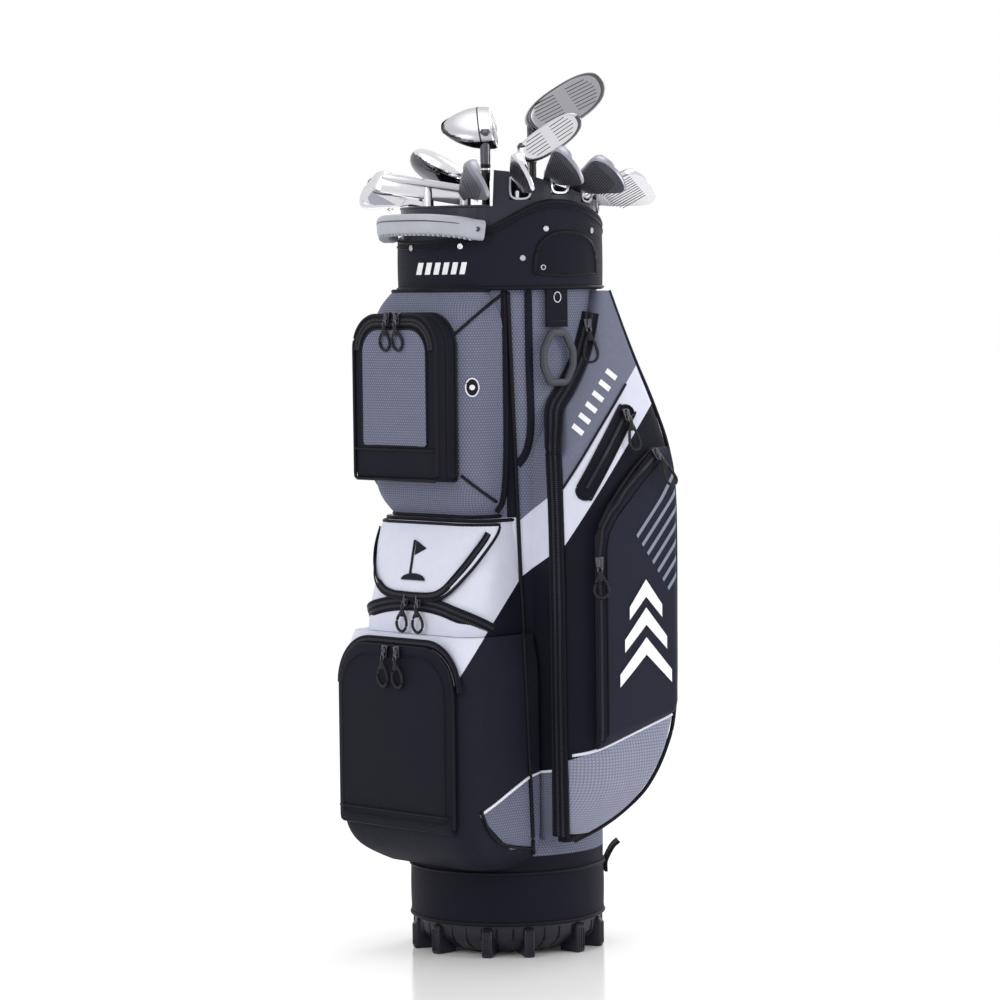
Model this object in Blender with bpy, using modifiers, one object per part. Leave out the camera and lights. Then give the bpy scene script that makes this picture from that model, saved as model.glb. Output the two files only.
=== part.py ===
"""Golf cart bag with its clubs: a stand-up bag with a stepped organiser top and eleven clubs.

Frame: metres, +Z up, the bag stands on z = 0 with its tube on the Z axis. The pockets and the
grab handle are on the front, which faces -Y; the tall clothing pocket is on the +X side.
The organiser top is turned about Z against the bag, so its wells are placed in their own
(across, deep) axes by turned().
"""

import math

import bmesh
import bpy
from mathutils import Matrix, Vector

# ---------------------------------------------------------------- driving dimensions
GAP = 0.0004  # air between pieces that touch
TUBE_R = 0.116  # outer radius of the fabric tube
TUBE_WALL = 0.0035
BASE_TOP = 0.100
CUFF_BOTTOM = 0.790
CUFF_R = 0.122
CUFF_WALL = 0.0035
TOP_R = 0.1180  # outer radius of the moulded organiser top
SHELL_R = 0.1125  # outer radius of the moulded base
SHELL_WALL = 0.004
DECK_LOW = 0.885  # upper face of the organiser's low half
DECK_THICK = 0.020
TOP_TURN = math.radians(47.0)  # turn of the organiser against the bag
STEP_ACROSS = -0.008  # where the raised half begins
WELL_R = 0.0145
GRIP_BOTTOM = 0.022

# ---------------------------------------------------------------- scene and collections
for old in list(bpy.data.objects):
    bpy.data.objects.remove(old)

PARTS = bpy.data.collections.new("golf_club_set")
CUTTERS = bpy.data.collections.new("cutters")
for group in (PARTS, CUTTERS):
    bpy.context.scene.collection.children.link(group)


def material(name, colour, roughness, metallic=0.0):
    made = bpy.data.materials.new(name)
    made.use_nodes = True
    shader = made.node_tree.nodes["Principled BSDF"]
    shader.inputs["Base Color"].default_value = (*colour, 1.0)
    shader.inputs["Roughness"].default_value = roughness
    shader.inputs["Metallic"].default_value = metallic
    return made


BLACK_FABRIC = material("black_fabric", (0.012, 0.012, 0.016), 0.75)
GREY_FABRIC = material("grey_fabric", (0.13, 0.13, 0.15), 0.8)
WHITE_FABRIC = material("white_fabric", (0.75, 0.75, 0.82), 0.6)
BLACK_PLASTIC = material("black_plastic", (0.02, 0.02, 0.025), 0.45)
GREY_PLASTIC = material("grey_plastic", (0.42, 0.43, 0.48), 0.5)
DARK_RUBBER = material("grip_rubber", (0.015, 0.015, 0.015), 0.85)
STEEL = material("polished_steel", (0.72, 0.72, 0.74), 0.2, 1.0)
DARK_STEEL = material("dark_steel", (0.09, 0.09, 0.11), 0.35, 1.0)
GRAPHITE = material("graphite", (0.02, 0.02, 0.02), 0.25)
ROD = material("aluminium_rod", (0.6, 0.6, 0.62), 0.35, 1.0)
WEBBING = material("webbing", (0.01, 0.01, 0.012), 0.9)


# ---------------------------------------------------------------- modelling helpers
def turned(across, deep):
    """A point of the organiser's own axes, in the bag's X and Y."""
    c, s = math.cos(TOP_TURN), math.sin(TOP_TURN)
    return across * c - deep * s, across * s + deep * c


def add(name, mesh, finish):
    made = bpy.data.objects.new(name, mesh)
    PARTS.objects.link(made)
    mesh.materials.append(finish)
    return made


def cutter(name, mesh):
    made = bpy.data.objects.new(name, mesh)
    CUTTERS.objects.link(made)
    made.hide_render = True
    made.display_type = "WIRE"
    return made


def as_cutter(made):
    """Moves a finished piece to the cutters."""
    PARTS.objects.unlink(made)
    CUTTERS.objects.link(made)
    made.hide_render = True
    made.display_type = "WIRE"
    return made


def mesh_from(bm, name):
    bmesh.ops.recalc_face_normals(bm, faces=bm.faces)
    made = bpy.data.meshes.new(name)
    bm.to_mesh(made)
    bm.free()
    return made


def lofted(name, rings):
    """A closed mesh through rings of the same number of points, its ends capped."""
    bm = bmesh.new()
    loops = [[bm.verts.new(p) for p in ring] for ring in rings]
    count = len(loops[0])
    for below, above in zip(loops, loops[1:]):
        for i in range(count):
            j = (i + 1) % count
            bm.faces.new((below[i], below[j], above[j], above[i]))
    caps = [bm.faces.new(loops[0][::-1]), bm.faces.new(loops[-1])]
    bmesh.ops.triangulate(bm, faces=caps)
    return mesh_from(bm, name)


def turned_mesh(name, profile, finish, steps=48):
    """A turned piece. The profile of (radius, height) runs down its outer side."""
    mesh = bpy.data.meshes.new(name)
    closed = profile[0][0] > 0
    count = len(profile)
    edges = [(i, i + 1) for i in range(count - 1)]
    if closed:
        edges.append((count - 1, 0))
    mesh.from_pydata([(r, 0, z) for r, z in profile], edges, [])
    made = add(name, mesh, finish)
    screw = made.modifiers.new("turn", "SCREW")
    screw.steps = screw.render_steps = steps
    screw.use_merge_vertices = True
    screw.merge_threshold = 0.00001
    screw.use_smooth_shade = True
    return made


def block(name, size, centre, turn=0.0):
    """A box mesh of that size, turned about Z, then moved to its centre."""
    bm = bmesh.new()
    bmesh.ops.create_cube(bm, size=1.0)
    place = Matrix.Translation(centre) @ Matrix.Rotation(turn, 4, "Z")
    bmesh.ops.transform(bm, matrix=place @ Matrix.Diagonal((*size, 1)), verts=bm.verts)
    return mesh_from(bm, name)


def rod(name, radius, low, high, at, segments=12):
    bm = bmesh.new()
    bmesh.ops.create_cone(
        bm, cap_ends=True, segments=segments, radius1=radius, radius2=radius, depth=high - low
    )
    bmesh.ops.translate(bm, vec=(at[0], at[1], (low + high) / 2), verts=bm.verts)
    return mesh_from(bm, name)


def boolean(target, other, operation):
    change = target.modifiers.new(operation.lower(), "BOOLEAN")
    change.operation = operation
    change.object = other
    return change


def joined(name, meshes):
    """One mesh of several separate closed ones."""
    bm = bmesh.new()
    for mesh in meshes:
        bm.from_mesh(mesh)
    return mesh_from(bm, name)


def arc(centre, radius, start, end, count):
    """Points on a circle from start to end, in degrees."""
    step = (end - start) / (count - 1)
    angles = [math.radians(start + i * step) for i in range(count)]
    return [
        (centre[0] + radius * math.cos(a), centre[1] + radius * math.sin(a)) for a in angles
    ]


# ---------------------------------------------------------------- base
FOOT_PAIRS = 6
FOOT_SPREAD = math.radians(12.5)
FOOT_SIZE = (0.030, 0.013, 0.036)


def base():
    wall = SHELL_R - SHELL_WALL
    top = BASE_TOP - 0.002
    bowl = [(0, top), (SHELL_R, top), (SHELL_R, 0.030), (0.108, 0.016), (0.088, 0.003), (0, 0.003)]
    shell = turned_mesh("base_shell", bowl, BLACK_PLASTIC)
    feet = []
    for pair in range(FOOT_PAIRS):
        middle = TOP_TURN - math.pi / 2 + pair * 2 * math.pi / FOOT_PAIRS
        for side in (-1, 1):
            a = middle + side * FOOT_SPREAD
            at = (0.104 * math.cos(a), 0.104 * math.sin(a), FOOT_SIZE[2] / 2)
            feet.append(block("foot", FOOT_SIZE, at, a))
    boolean(shell, cutter("feet", joined("feet", feet)), "UNION")
    inside = [(0, 0.15), (wall, 0.15), (wall, 0.026), (0.090, 0.009), (0, 0.009)]
    boolean(shell, as_cutter(turned_mesh("base_inside", inside, BLACK_PLASTIC)), "DIFFERENCE")
    outer = SHELL_R + GAP
    band = [
        (outer, BASE_TOP),
        (TUBE_R, BASE_TOP),
        (TUBE_R, 0.050),
        (TUBE_R - 0.001, 0.037),
        (outer, 0.037),
    ]
    turned_mesh("base_band", band, BLACK_FABRIC)


# ---------------------------------------------------------------- tube, cuff and organiser top
def tube():
    inner = TUBE_R - TUBE_WALL
    low, high = BASE_TOP + GAP, CUFF_BOTTOM - GAP
    profile = [(inner, high), (TUBE_R, high), (TUBE_R, low), (inner, low)]
    turned_mesh("body_tube", profile, GREY_FABRIC)


def cuff_top(angle):
    """Height of the cuff's upper edge: low at the front, a hump behind the +X side."""
    away = (math.degrees(angle - TOP_TURN) + 58 + 180) % 360 - 180
    hump = math.exp(-((away / (62 if away > 0 else 36)) ** 2))
    rear = math.exp(-(((abs(away) - 180) / 50) ** 2))
    return 0.844 + 0.047 * hump + 0.016 * rear


def cuff():
    steps = 48
    rings = [[], [], [], []]
    inner = CUFF_R - CUFF_WALL
    for i in range(steps):
        angle = -math.pi / 2 + TOP_TURN - math.pi + 2 * math.pi * i / steps
        c, s = math.cos(angle), math.sin(angle)
        high = cuff_top(angle)
        corners = ((inner, CUFF_BOTTOM), (CUFF_R, CUFF_BOTTOM), (CUFF_R, high), (inner, high))
        for ring, (r, z) in zip(rings, corners):
            ring.append(Vector((r * c, r * s, z)))
    bm = bmesh.new()
    loops = [[bm.verts.new(p) for p in ring] for ring in rings]
    for a, b in zip(loops, loops[1:] + loops[:1]):
        for i in range(steps):
            j = (i + 1) % steps
            bm.faces.new((a[i], a[j], b[j], b[i]))
    add("top_cuff", mesh_from(bm, "top_cuff"), BLACK_FABRIC)


# Wells of the organiser: name, across, deep. The four rim wells hold irons, each in a notch.
RIM_WELLS = {"iron_7": -78, "iron_8": -53, "iron_9": -29, "sand_wedge": -5}
RIM_REACH = 0.0985
NOTCH_WIDTH = 0.025
INNER_WELLS = {
    "driver": (0.041, 0.080),
    "fairway_wood_3": (0.030, 0.017),
    "fairway_wood_5": (-0.016, -0.004),
    "hybrid": (-0.042, 0.082),
    "putter": (-0.084, -0.038),
    "iron_5": (-0.040, -0.082),
    "iron_6": (-0.086, 0.032),
}
SPARE_WELLS = [(0.000, 0.050), (-0.052, -0.012), (0.020, -0.050)]


def rim_well(degrees):
    a = math.radians(degrees)
    return RIM_REACH * math.cos(a), RIM_REACH * math.sin(a)


def raised_top(across):
    """Height of the raised half: it falls away from the step."""
    share = (across - STEP_ACROSS) / (TOP_R - STEP_ACROSS)
    return 0.927 - 0.040 * share**1.7


def organiser_top():
    inner = TOP_R - 0.004
    low = CUFF_BOTTOM + GAP
    profile = [
        (0, DECK_LOW - DECK_THICK),
        (inner, DECK_LOW - DECK_THICK),
        (inner, low),
        (TOP_R, low),
        (TOP_R, 0.935),
        (0, 0.935),
    ]
    top = turned_mesh("divider_top", profile, BLACK_PLASTIC, 64)
    reach = 0.13
    samples = 7
    cut = [(-reach, 0.95), (-reach, DECK_LOW), (STEP_ACROSS, DECK_LOW)]
    for i in range(samples):
        across = STEP_ACROSS + 0.002 + (reach - STEP_ACROSS - 0.002) * i / (samples - 1)
        cut.append((across, raised_top(min(across, TOP_R))))
    cut.append((reach, 0.95))
    sides = []
    for deep in (-reach, reach):
        sides.append([Vector((*turned(a, deep), z)) for a, z in cut])
    boolean(top, cutter("top_slope", lofted("top_slope", sides)), "DIFFERENCE")
    wells = [rim_well(a) for a in RIM_WELLS.values()] + list(INNER_WELLS.values()) + SPARE_WELLS
    holes = [rod("well", WELL_R, 0.84, 0.96, turned(*w), 20) for w in wells]
    boolean(top, cutter("wells", joined("wells", holes)), "DIFFERENCE")
    notches = []
    for name, degrees in RIM_WELLS.items():
        a = math.radians(degrees)
        length = 0.040
        middle = RIM_REACH + length / 2
        x, y = turned(middle * math.cos(a), middle * math.sin(a))
        floor = CLUB_TIPS[name] - 0.024
        size = (length, NOTCH_WIDTH, 0.1)
        notches.append(block("notch", size, (x, y, floor + 0.05), a + TOP_TURN))
    boolean(top, cutter("notches", joined("notches", notches)), "DIFFERENCE")


def dividers():
    """Two fabric sheets that part the wells over the whole depth of the bag."""
    low, high = 0.115, DECK_LOW - DECK_THICK - 0.003
    middle, tall, thick = (low + high) / 2, high - low, 0.002
    x, y = turned(0.018, -0.029)
    front = add("divider_sheet_front", block("sheet", (0.160, thick, tall), (x, y, middle), TOP_TURN), BLACK_FABRIC)
    x, y = turned(0.010, 0.001)
    stem = block("stem", (thick, 0.060, tall), (x, y, middle), TOP_TURN)
    boolean(front, cutter("sheet_stem", stem), "UNION")
    x, y = turned(0.002, 0.0650)
    add("divider_sheet_rear", block("rear", (0.160, thick, tall), (x, y, middle), TOP_TURN), BLACK_FABRIC)


ROD_PLACES = {"stay_rod_right": (0.1000, 0.0270), "stay_rod_front": (-0.0150, -0.1030)}


def stay_rods():
    for name, place in ROD_PLACES.items():
        high = DECK_LOW - DECK_THICK - GAP
        add(name, rod(name, 0.004, 0.028, high, turned(*place)), ROD)


# ---------------------------------------------------------------- clubs
# Height of each club's tip, where the shaft's line ends inside the head.
CLUB_TIPS = {
    "driver": 0.994,
    "fairway_wood_3": 0.955,
    "fairway_wood_5": 0.971,
    "hybrid": 0.922,
    "putter": 0.911,
    "iron_5": 0.908,
    "iron_6": 0.902,
    "iron_7": 0.916,
    "iron_8": 0.923,
    "iron_9": 0.913,
    "sand_wedge": 0.899,
}
SHAFT_TIP_R, SHAFT_BUTT_R = 0.0047, 0.0074
HOSEL_R = 0.0065
HOSEL_LONG = {"wood": 0.034, "iron": 0.058, "putter": 0.050}
GRIP_LONG = 0.265
LEAN_LIMIT = 0.091  # how far out a grip may stand at the bottom


def club_frame(name, across, deep, heading):
    """The matrix of a club: its origin at the tip, +Z up its shaft, +X from heel to toe."""
    out = math.hypot(across, deep)
    keep = min(1.0, LEAN_LIMIT / out)
    top = Vector((*turned(across, deep), CLUB_TIPS[name]))
    foot = Vector((*turned(across * keep, deep * keep), GRIP_BOTTOM))
    up = (top - foot).normalized()
    a = math.radians(heading) + TOP_TURN
    toe = Vector((math.cos(a), math.sin(a), 0))
    toe = (toe - up * toe.dot(up)).normalized()
    back = up.cross(toe)
    place = Matrix((toe, back, up)).transposed().to_4x4()
    place.translation = top
    return place, (top - foot).length


def placed(made, matrix):
    made.matrix_world = matrix
    return made


def shaft_and_grip(name, place, length, neck, finish, grip_r=0.0132):
    top = -neck - GAP
    low = -length + 0.004
    bm = bmesh.new()
    bmesh.ops.create_cone(
        bm, cap_ends=True, segments=12, radius1=SHAFT_BUTT_R, radius2=SHAFT_TIP_R, depth=top - low
    )
    bmesh.ops.translate(bm, vec=(0, 0, (top + low) / 2), verts=bm.verts)
    placed(add(name + "_shaft", mesh_from(bm, "shaft"), finish), place)

    def shaft_r(z):
        return SHAFT_BUTT_R + (SHAFT_TIP_R - SHAFT_BUTT_R) * (z - low) / (top - low)

    mouth = -length + GRIP_LONG
    bore = 0.0006  # more than the flats of a twelve-sided shaft need
    profile = [
        (0, low - GAP),
        (SHAFT_BUTT_R + bore, low - GAP),
        (shaft_r(mouth) + bore, mouth),
        (shaft_r(mouth) + 0.0022, mouth),
        (grip_r * 0.93, -length + 0.09),
        (grip_r, -length + 0.012),
        (grip_r * 0.9, -length),
        (0, -length),
    ]
    placed(turned_mesh(name + "_grip", profile, DARK_RUBBER, 12), place)


def iron_head(loft):
    """An iron's head. Each section is (along the sole, sole side, topline side, thickness)."""
    lie = math.radians(28)
    tilt = math.radians(loft)
    along = Vector((math.cos(lie), 0, math.sin(lie)))
    down = Vector((math.sin(lie), 0, -math.cos(lie)))
    side = Vector((0, 1, 0))
    sections = [
        (0.000, 0.002, 0.016, 0.0110),
        (0.014, 0.001, 0.021, 0.0105),
        (0.026, 0.000, 0.031, 0.0130),
        (0.044, 0.000, 0.043, 0.0150),
        (0.060, 0.000, 0.053, 0.0160),
        (0.070, 0.003, 0.053, 0.0150),
        (0.077, 0.011, 0.044, 0.0110),
        (0.080, 0.020, 0.034, 0.0070),
    ]
    rings = []
    for s, low, high, thick in sections:
        ring = []
        # The sole is thick and rounded, the topline thin; the face is flat.
        top_thick = min(0.0050, thick)
        outline = [
            (low + 0.0025, 0.0),
            (high, 0.0),
            (high, -top_thick),
            (low + 0.45 * (high - low), -0.55 * thick - 0.002),
            (low + 0.006, -thick),
            (low, -0.6 * thick),
        ]
        for t, n in outline:
            t_mid, n_mid = 0.011, -0.006
            a = (t - t_mid) * math.cos(tilt) + (n - n_mid) * math.sin(tilt) + t_mid
            b = (t - t_mid) * math.sin(tilt) - (n - n_mid) * math.cos(tilt)
            ring.append(along * s + down * a + side * b)
        rings.append(ring)
    return lofted("blade", rings)


def wood_head(width, height, depth, loft, lie):
    """A wood's head: sections behind the face, each a rounded outline from heel to toe."""
    tilt = math.radians(90 - lie)
    face = math.radians(loft)
    along = Vector((math.cos(tilt), 0, math.sin(tilt)))
    down = Vector((math.sin(tilt), 0, -math.cos(tilt)))
    side = Vector((0, 1, 0))
    shares = [(0.0, 0.86), (0.06, 0.96), (0.22, 1.0), (0.45, 0.93), (0.68, 0.74), (0.86, 0.48), (0.97, 0.2)]
    count = 16
    rings = []
    for back, size in shares:
        ring = []
        for i in range(count):
            a = 2 * math.pi * i / count
            ca, sa = math.cos(a), math.sin(a)
            power = 0.80
            s = math.copysign(abs(ca) ** power, ca) * width / 2 * size
            # The crown, on the grip's side, is domed and the sole is flatter.
            t = math.copysign(abs(sa) ** power, sa) * height * (0.56 if sa > 0 else 0.44) * size
            t += height * 0.10 * back * (1 if sa < 0 else -0.3)
            lean = -t * math.tan(face) * (1 - back)
            ring.append(
                along * (s + width / 2 - 0.010)
                + down * (t + 0.004)
                + side * (depth * (back - 0.18) + lean)
            )
        rings.append(ring)
    return lofted("wood", rings)


def hosel(long, top=0.004):
    return rod("hosel", HOSEL_R, -long, top, (0, 0), 16)


def putter_head():
    """A blade with a raised back flange, and a neck that stands off its heel end."""
    lie = math.radians(10)
    turn = Matrix.Rotation(-lie, 4, "Y")
    blade = block("blade", (0.104, 0.008, 0.024), (0.004, 0.0, -0.004))
    flange = block("flange", (0.098, 0.022, 0.008), (0.004, 0.012, 0.003))
    for mesh in (blade, flange):
        mesh.transform(turn)
    return blade, flange


CLUBS = {
    # name: (kind, heading of the toe in the organiser's axes, finish of the head, size)
    "driver": ("wood", 4, STEEL, (0.108, 0.051, 0.094, 10, 58)),
    "fairway_wood_3": ("wood", 2, STEEL, (0.088, 0.035, 0.050, 15, 57)),
    "fairway_wood_5": ("wood", 93, STEEL, (0.076, 0.034, 0.064, 18, 57)),
    "hybrid": ("wood", 172, DARK_STEEL, (0.082, 0.038, 0.052, 20, 60)),
    "putter": ("putter", 171, STEEL, ()),
    "iron_5": ("iron", -82, DARK_STEEL, 27),
    "iron_6": ("iron", 150, STEEL, 30),
    "iron_7": ("iron", -88, STEEL, 26),
    "iron_8": ("iron", -78, DARK_STEEL, 34),
    "iron_9": ("iron", -60, DARK_STEEL, 38),
    "sand_wedge": ("iron", -20, STEEL, 42),
}


def clubs():
    for name, (kind, heading, finish, size) in CLUBS.items():
        well = INNER_WELLS.get(name) or rim_well(RIM_WELLS[name])
        place, length = club_frame(name, *well, heading)
        neck = HOSEL_LONG[kind]
        if kind == "iron":
            body, extra = iron_head(size), [hosel(neck)]
        elif kind == "wood":
            body, extra = wood_head(*size), [hosel(neck)]
        else:
            body, flange = putter_head()
            extra = [flange, hosel(neck, -0.001)]
        head = placed(add(name + "_head", body, finish), place)
        for i, mesh in enumerate(extra):
            piece = placed(cutter(f"{name}_join_{i}", mesh), place)
            boolean(head, piece, "UNION")
        shaft = GRAPHITE if kind == "wood" else STEEL
        shaft_and_grip(name, place, length, neck, shaft)


# ---------------------------------------------------------------- pockets
def front_outline(half, front, radius, back=0.054):
    """Plan outline of a front pocket: two rounded front corners, open behind into the tube."""
    right = arc((half - radius, -front + radius), radius, 0, -90, 5)
    left = arc((-half + radius, -front + radius), radius, -90, -180, 5)
    return [(half, -back)] + right + left + [(-half, -back)]


def front_pocket(levels, wall=0.0):
    """Rings of a front pocket from levels of (height, half width, reach, corner radius)."""
    rings = []
    for z, half, front, radius in levels:
        outline = front_outline(half - wall, front - wall, max(radius - wall, 0.004))
        rings.append([Vector((x, y, z)) for x, y in outline])
    return rings


def tube_cutter(name, low, high, radius=TUBE_R + GAP):
    return cutter(name, rod(name, radius, low, high, (0, 0), 64))


def arch(half, low, high, radius, steps=5):
    """An upright arch in X and Z: square below, round corners above."""
    right = arc((half - radius, high - radius), radius, 0, 90, steps)
    left = arc((-half + radius, high - radius), radius, 90, 180, steps)
    return [(half, low)] + right + left + [(-half, low)]


def slab(name, outline, near, far):
    """An outline in X and Z, made thick between two values of Y."""
    rings = [[Vector((x, y, z)) for x, z in outline] for y in (near, far)]
    return lofted(name, rings)


BALL_FRONT = 0.1710  # where the ball pocket's body ends and its flap begins
BALL_FLAP = (0.100, 0.158, 0.372, 0.050)
BALL_LEVELS = [
    (0.108, 0.090, 0.126, 0.030),
    (0.124, 0.108, 0.157, 0.028),
    (0.150, 0.115, BALL_FRONT, 0.026),
    (0.345, 0.115, BALL_FRONT, 0.026),
    (0.384, 0.106, 0.161, 0.026),
]
POCKET_WALL = 0.005


def ball_pocket():
    body = add("ball_pocket", lofted("ball", front_pocket(BALL_LEVELS)), BLACK_FABRIC)
    boolean(body, tube_cutter("tube_behind_ball", 0.05, 0.45), "DIFFERENCE")
    z0, z1 = 0.150, 0.372
    inner = [(z0, 0.109, 0.1660, 0.022), (z1, 0.103, 0.1590, 0.022)]
    hollow = lofted("hollow", front_pocket(inner))
    hollow_cutter = cutter("ball_hollow", hollow)
    boolean(hollow_cutter, tube_cutter("ball_back_wall", 0.05, 0.45, TUBE_R + POCKET_WALL), "DIFFERENCE")
    boolean(body, hollow_cutter, "DIFFERENCE")
    half, low, high, radius = BALL_FLAP
    mouth = slab("mouth", arch(half - 0.010, low + 0.010, high - 0.012, radius - 0.01), -0.20, -0.135)
    boolean(body, cutter("ball_mouth", mouth), "DIFFERENCE")
    flap = slab("flap", arch(half, low, high, radius), -BALL_FRONT - GAP, -BALL_FRONT - 0.009)
    add("ball_pocket_flap", flap, BLACK_FABRIC)


COOLER_LEVELS = [
    (0.3845, 0.100, 0.148, 0.034),
    (0.420, 0.098, 0.144, 0.034),
    (0.470, 0.094, 0.132, 0.034),
    (0.520, 0.090, 0.122, 0.034),
]
VALUABLES = (0.078, 0.424, 0.516)


def cooler_pocket():
    body = add("cooler_pocket", lofted("cooler", front_pocket(COOLER_LEVELS)), WHITE_FABRIC)
    boolean(body, tube_cutter("tube_behind_cooler", 0.35, 0.56), "DIFFERENCE")
    recess = block("recess", (0.104, 0.040, 0.046), (0, -0.141, 0.459))
    boolean(body, cutter("valuables_recess", recess), "DIFFERENCE")
    half, low, high = VALUABLES
    rings = []
    for z, share in ((low, 0.62), (low + 0.012, 0.80), (low + 0.04, 0.95), (high, 1.0)):
        lean = (z - 0.420) / 0.100
        face = 0.144 - 0.022 * lean + GAP + 0.001
        out = face + 0.0085
        rings.append([
            Vector((half * share, -face, z)),
            Vector((half * share, -out, z)),
            Vector((-half * share, -out, z)),
            Vector((-half * share, -face, z)),
        ])
    add("valuables_flap", lofted("valuables", rings), WHITE_FABRIC)


UPPER_FRONT = 0.1400  # where the upper pocket ends and its pouch begins
UPPER_LEVELS = [
    (0.5205, 0.080, 0.116, 0.028),
    (0.540, 0.088, 0.132, 0.028),
    (0.566, 0.091, UPPER_FRONT, 0.028),
    (0.754, 0.087, UPPER_FRONT, 0.028),
    (0.774, 0.080, 0.133, 0.028),
    (0.789, 0.073, 0.119, 0.028),
]
POUCH_FLAP = (0.073, 0.566, 0.760, 0.040)
POUCH_DEEP = 0.030


def upper_pocket():
    body = add("upper_pocket", lofted("upper", front_pocket(UPPER_LEVELS)), GREY_FABRIC)
    boolean(body, tube_cutter("tube_behind_upper", 0.48, 0.82), "DIFFERENCE")
    inner = [(0.573, 0.084, 0.1350, 0.024), (0.738, 0.082, 0.1350, 0.024)]
    hollow_cutter = cutter("upper_hollow", lofted("hollow", front_pocket(inner)))
    boolean(hollow_cutter, tube_cutter("upper_back_wall", 0.48, 0.82, TUBE_R + POCKET_WALL), "DIFFERENCE")
    boolean(body, hollow_cutter, "DIFFERENCE")
    half, low, high, radius = POUCH_FLAP
    mouth = slab("mouth", arch(half - 0.010, low + 0.010, high - 0.018, radius - 0.01), -0.20, -0.130)
    boolean(body, cutter("upper_mouth", mouth), "DIFFERENCE")
    near = UPPER_FRONT + GAP
    flap = slab("pouch", arch(half, low, high, radius), -near, -near - POUCH_DEEP)
    pouch = add("pouch_flap", flap, GREY_FABRIC)
    inside = arch(half - POCKET_WALL, low + POCKET_WALL, high - POCKET_WALL, radius - POCKET_WALL)
    tray = slab("tray", inside, -0.120, -near - POUCH_DEEP + POCKET_WALL)
    boolean(pouch, cutter("pouch_inside", tray), "DIFFERENCE")


# Levels of the clothing pocket: height, reach out in X, front and rear edge in Y.
SIDE_LEVELS = [
    (0.140, 0.1500, -0.046, -0.030),
    (0.155, 0.1650, -0.048, 0.005),
    (0.175, 0.1760, -0.050, 0.040),
    (0.200, 0.1860, -0.050, 0.068),
    (0.240, 0.1915, -0.050, 0.092),
    (0.290, 0.1930, -0.050, 0.107),
    (0.400, 0.1930, -0.050, 0.110),
    (0.540, 0.1930, -0.050, 0.110),
    (0.600, 0.1820, -0.050, 0.110),
    (0.650, 0.1650, -0.018, 0.104),
    (0.700, 0.1455, 0.016, 0.090),
    (0.740, 0.1330, 0.034, 0.078),
    (0.785, 0.1200, 0.048, 0.066),
]


def side_reach(z):
    """How far out the clothing pocket stands at a height."""
    for low, high in zip(SIDE_LEVELS, SIDE_LEVELS[1:]):
        if low[0] <= z <= high[0]:
            share = (z - low[0]) / (high[0] - low[0])
            return low[1] + share * (high[1] - low[1])
    return SIDE_LEVELS[-1][1]


def side_ring(z, reach, front, rear):
    """Plan outline: a slanted front corner, a flat outer face and a rounded rear corner."""
    k = min(1.0, (rear - front) / 0.12)
    points = [
        (0.060, front),
        (reach - 0.038 * k, front),
        (reach - 0.017 * k, front + 0.010 * k),
        (reach - 0.004 * k, front + 0.030 * k),
        (reach, front + 0.045 * k),
        (reach, rear - 0.022 * k),
        (reach - 0.006 * k, rear - 0.006 * k),
        (reach - 0.020 * k, rear),
        (0.060, rear),
    ]
    return [Vector((x, y, z)) for x, y in points]


# The door's levels: height of its front and rear corner, and its front and rear edge in Y.
DOOR_LEVELS = [
    (0.252, 0.286, -0.036, 0.092),
    (0.300, 0.300, -0.036, 0.096),
    (0.500, 0.500, -0.036, 0.096),
    (0.538, 0.538, -0.014, 0.096),
    (0.570, 0.570, 0.028, 0.095),
    (0.600, 0.600, 0.066, 0.093),
]


def side_pocket():
    body = add("right_side_pocket", lofted("side", [side_ring(*l) for l in SIDE_LEVELS]), BLACK_FABRIC)
    boolean(body, tube_cutter("tube_behind_side", 0.10, 0.85), "DIFFERENCE")
    hollow_cutter = cutter("side_hollow", block("hollow", (0.120, 0.104, 0.270), (0.1235, 0.040, 0.385)))
    boolean(hollow_cutter, tube_cutter("side_back_wall", 0.10, 0.85, TUBE_R + POCKET_WALL), "DIFFERENCE")
    boolean(body, hollow_cutter, "DIFFERENCE")
    mouth = block("mouth", (0.050, 0.094, 0.190), (0.185, 0.039, 0.400))
    boolean(body, cutter("side_mouth", mouth), "DIFFERENCE")
    rings = []
    for front_z, rear_z, front, rear in DOOR_LEVELS:
        near = side_reach((front_z + rear_z) / 2) + GAP + 0.0006
        corners = ((near, front, front_z), (near + 0.009, front, front_z),
                   (near + 0.009, rear, rear_z), (near, rear, rear_z))
        rings.append([Vector(c) for c in corners])
    add("side_door", lofted("door", rings), BLACK_FABRIC)


def left_pocket():
    """A flat pocket on the far side."""
    def ring(x, inset):
        rear, front = 0.085 - inset, -0.018 + inset
        low, high = 0.170 + inset, 0.520 - inset
        return [Vector((-x, y, z)) for y, z in ((front, low), (rear, low), (rear, high), (front, high))]

    mesh = lofted("left", [ring(0.060, 0), ring(0.138, 0), ring(0.148, 0.012)])
    body = add("left_side_pocket", mesh, BLACK_FABRIC)
    boolean(body, tube_cutter("tube_behind_left", 0.10, 0.60), "DIFFERENCE")


# ---------------------------------------------------------------- handle, straps and small pieces
def smooth_path(points, steps):
    """Points on a Catmull-Rom curve through the given ones."""
    pts = [Vector(p) for p in points]
    padded = [2 * pts[0] - pts[1]] + pts + [2 * pts[-1] - pts[-2]]
    found = []
    for i in range(1, len(padded) - 2):
        p0, p1, p2, p3 = padded[i - 1 : i + 3]
        for k in range(steps):
            t = k / steps
            found.append(
                0.5 * (2 * p1 + (p2 - p0) * t + (2 * p0 - 5 * p1 + 4 * p2 - p3) * t**2
                       + (3 * p1 - p0 - 3 * p2 + p3) * t**3)
            )
    return found + [pts[-1]]


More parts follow.
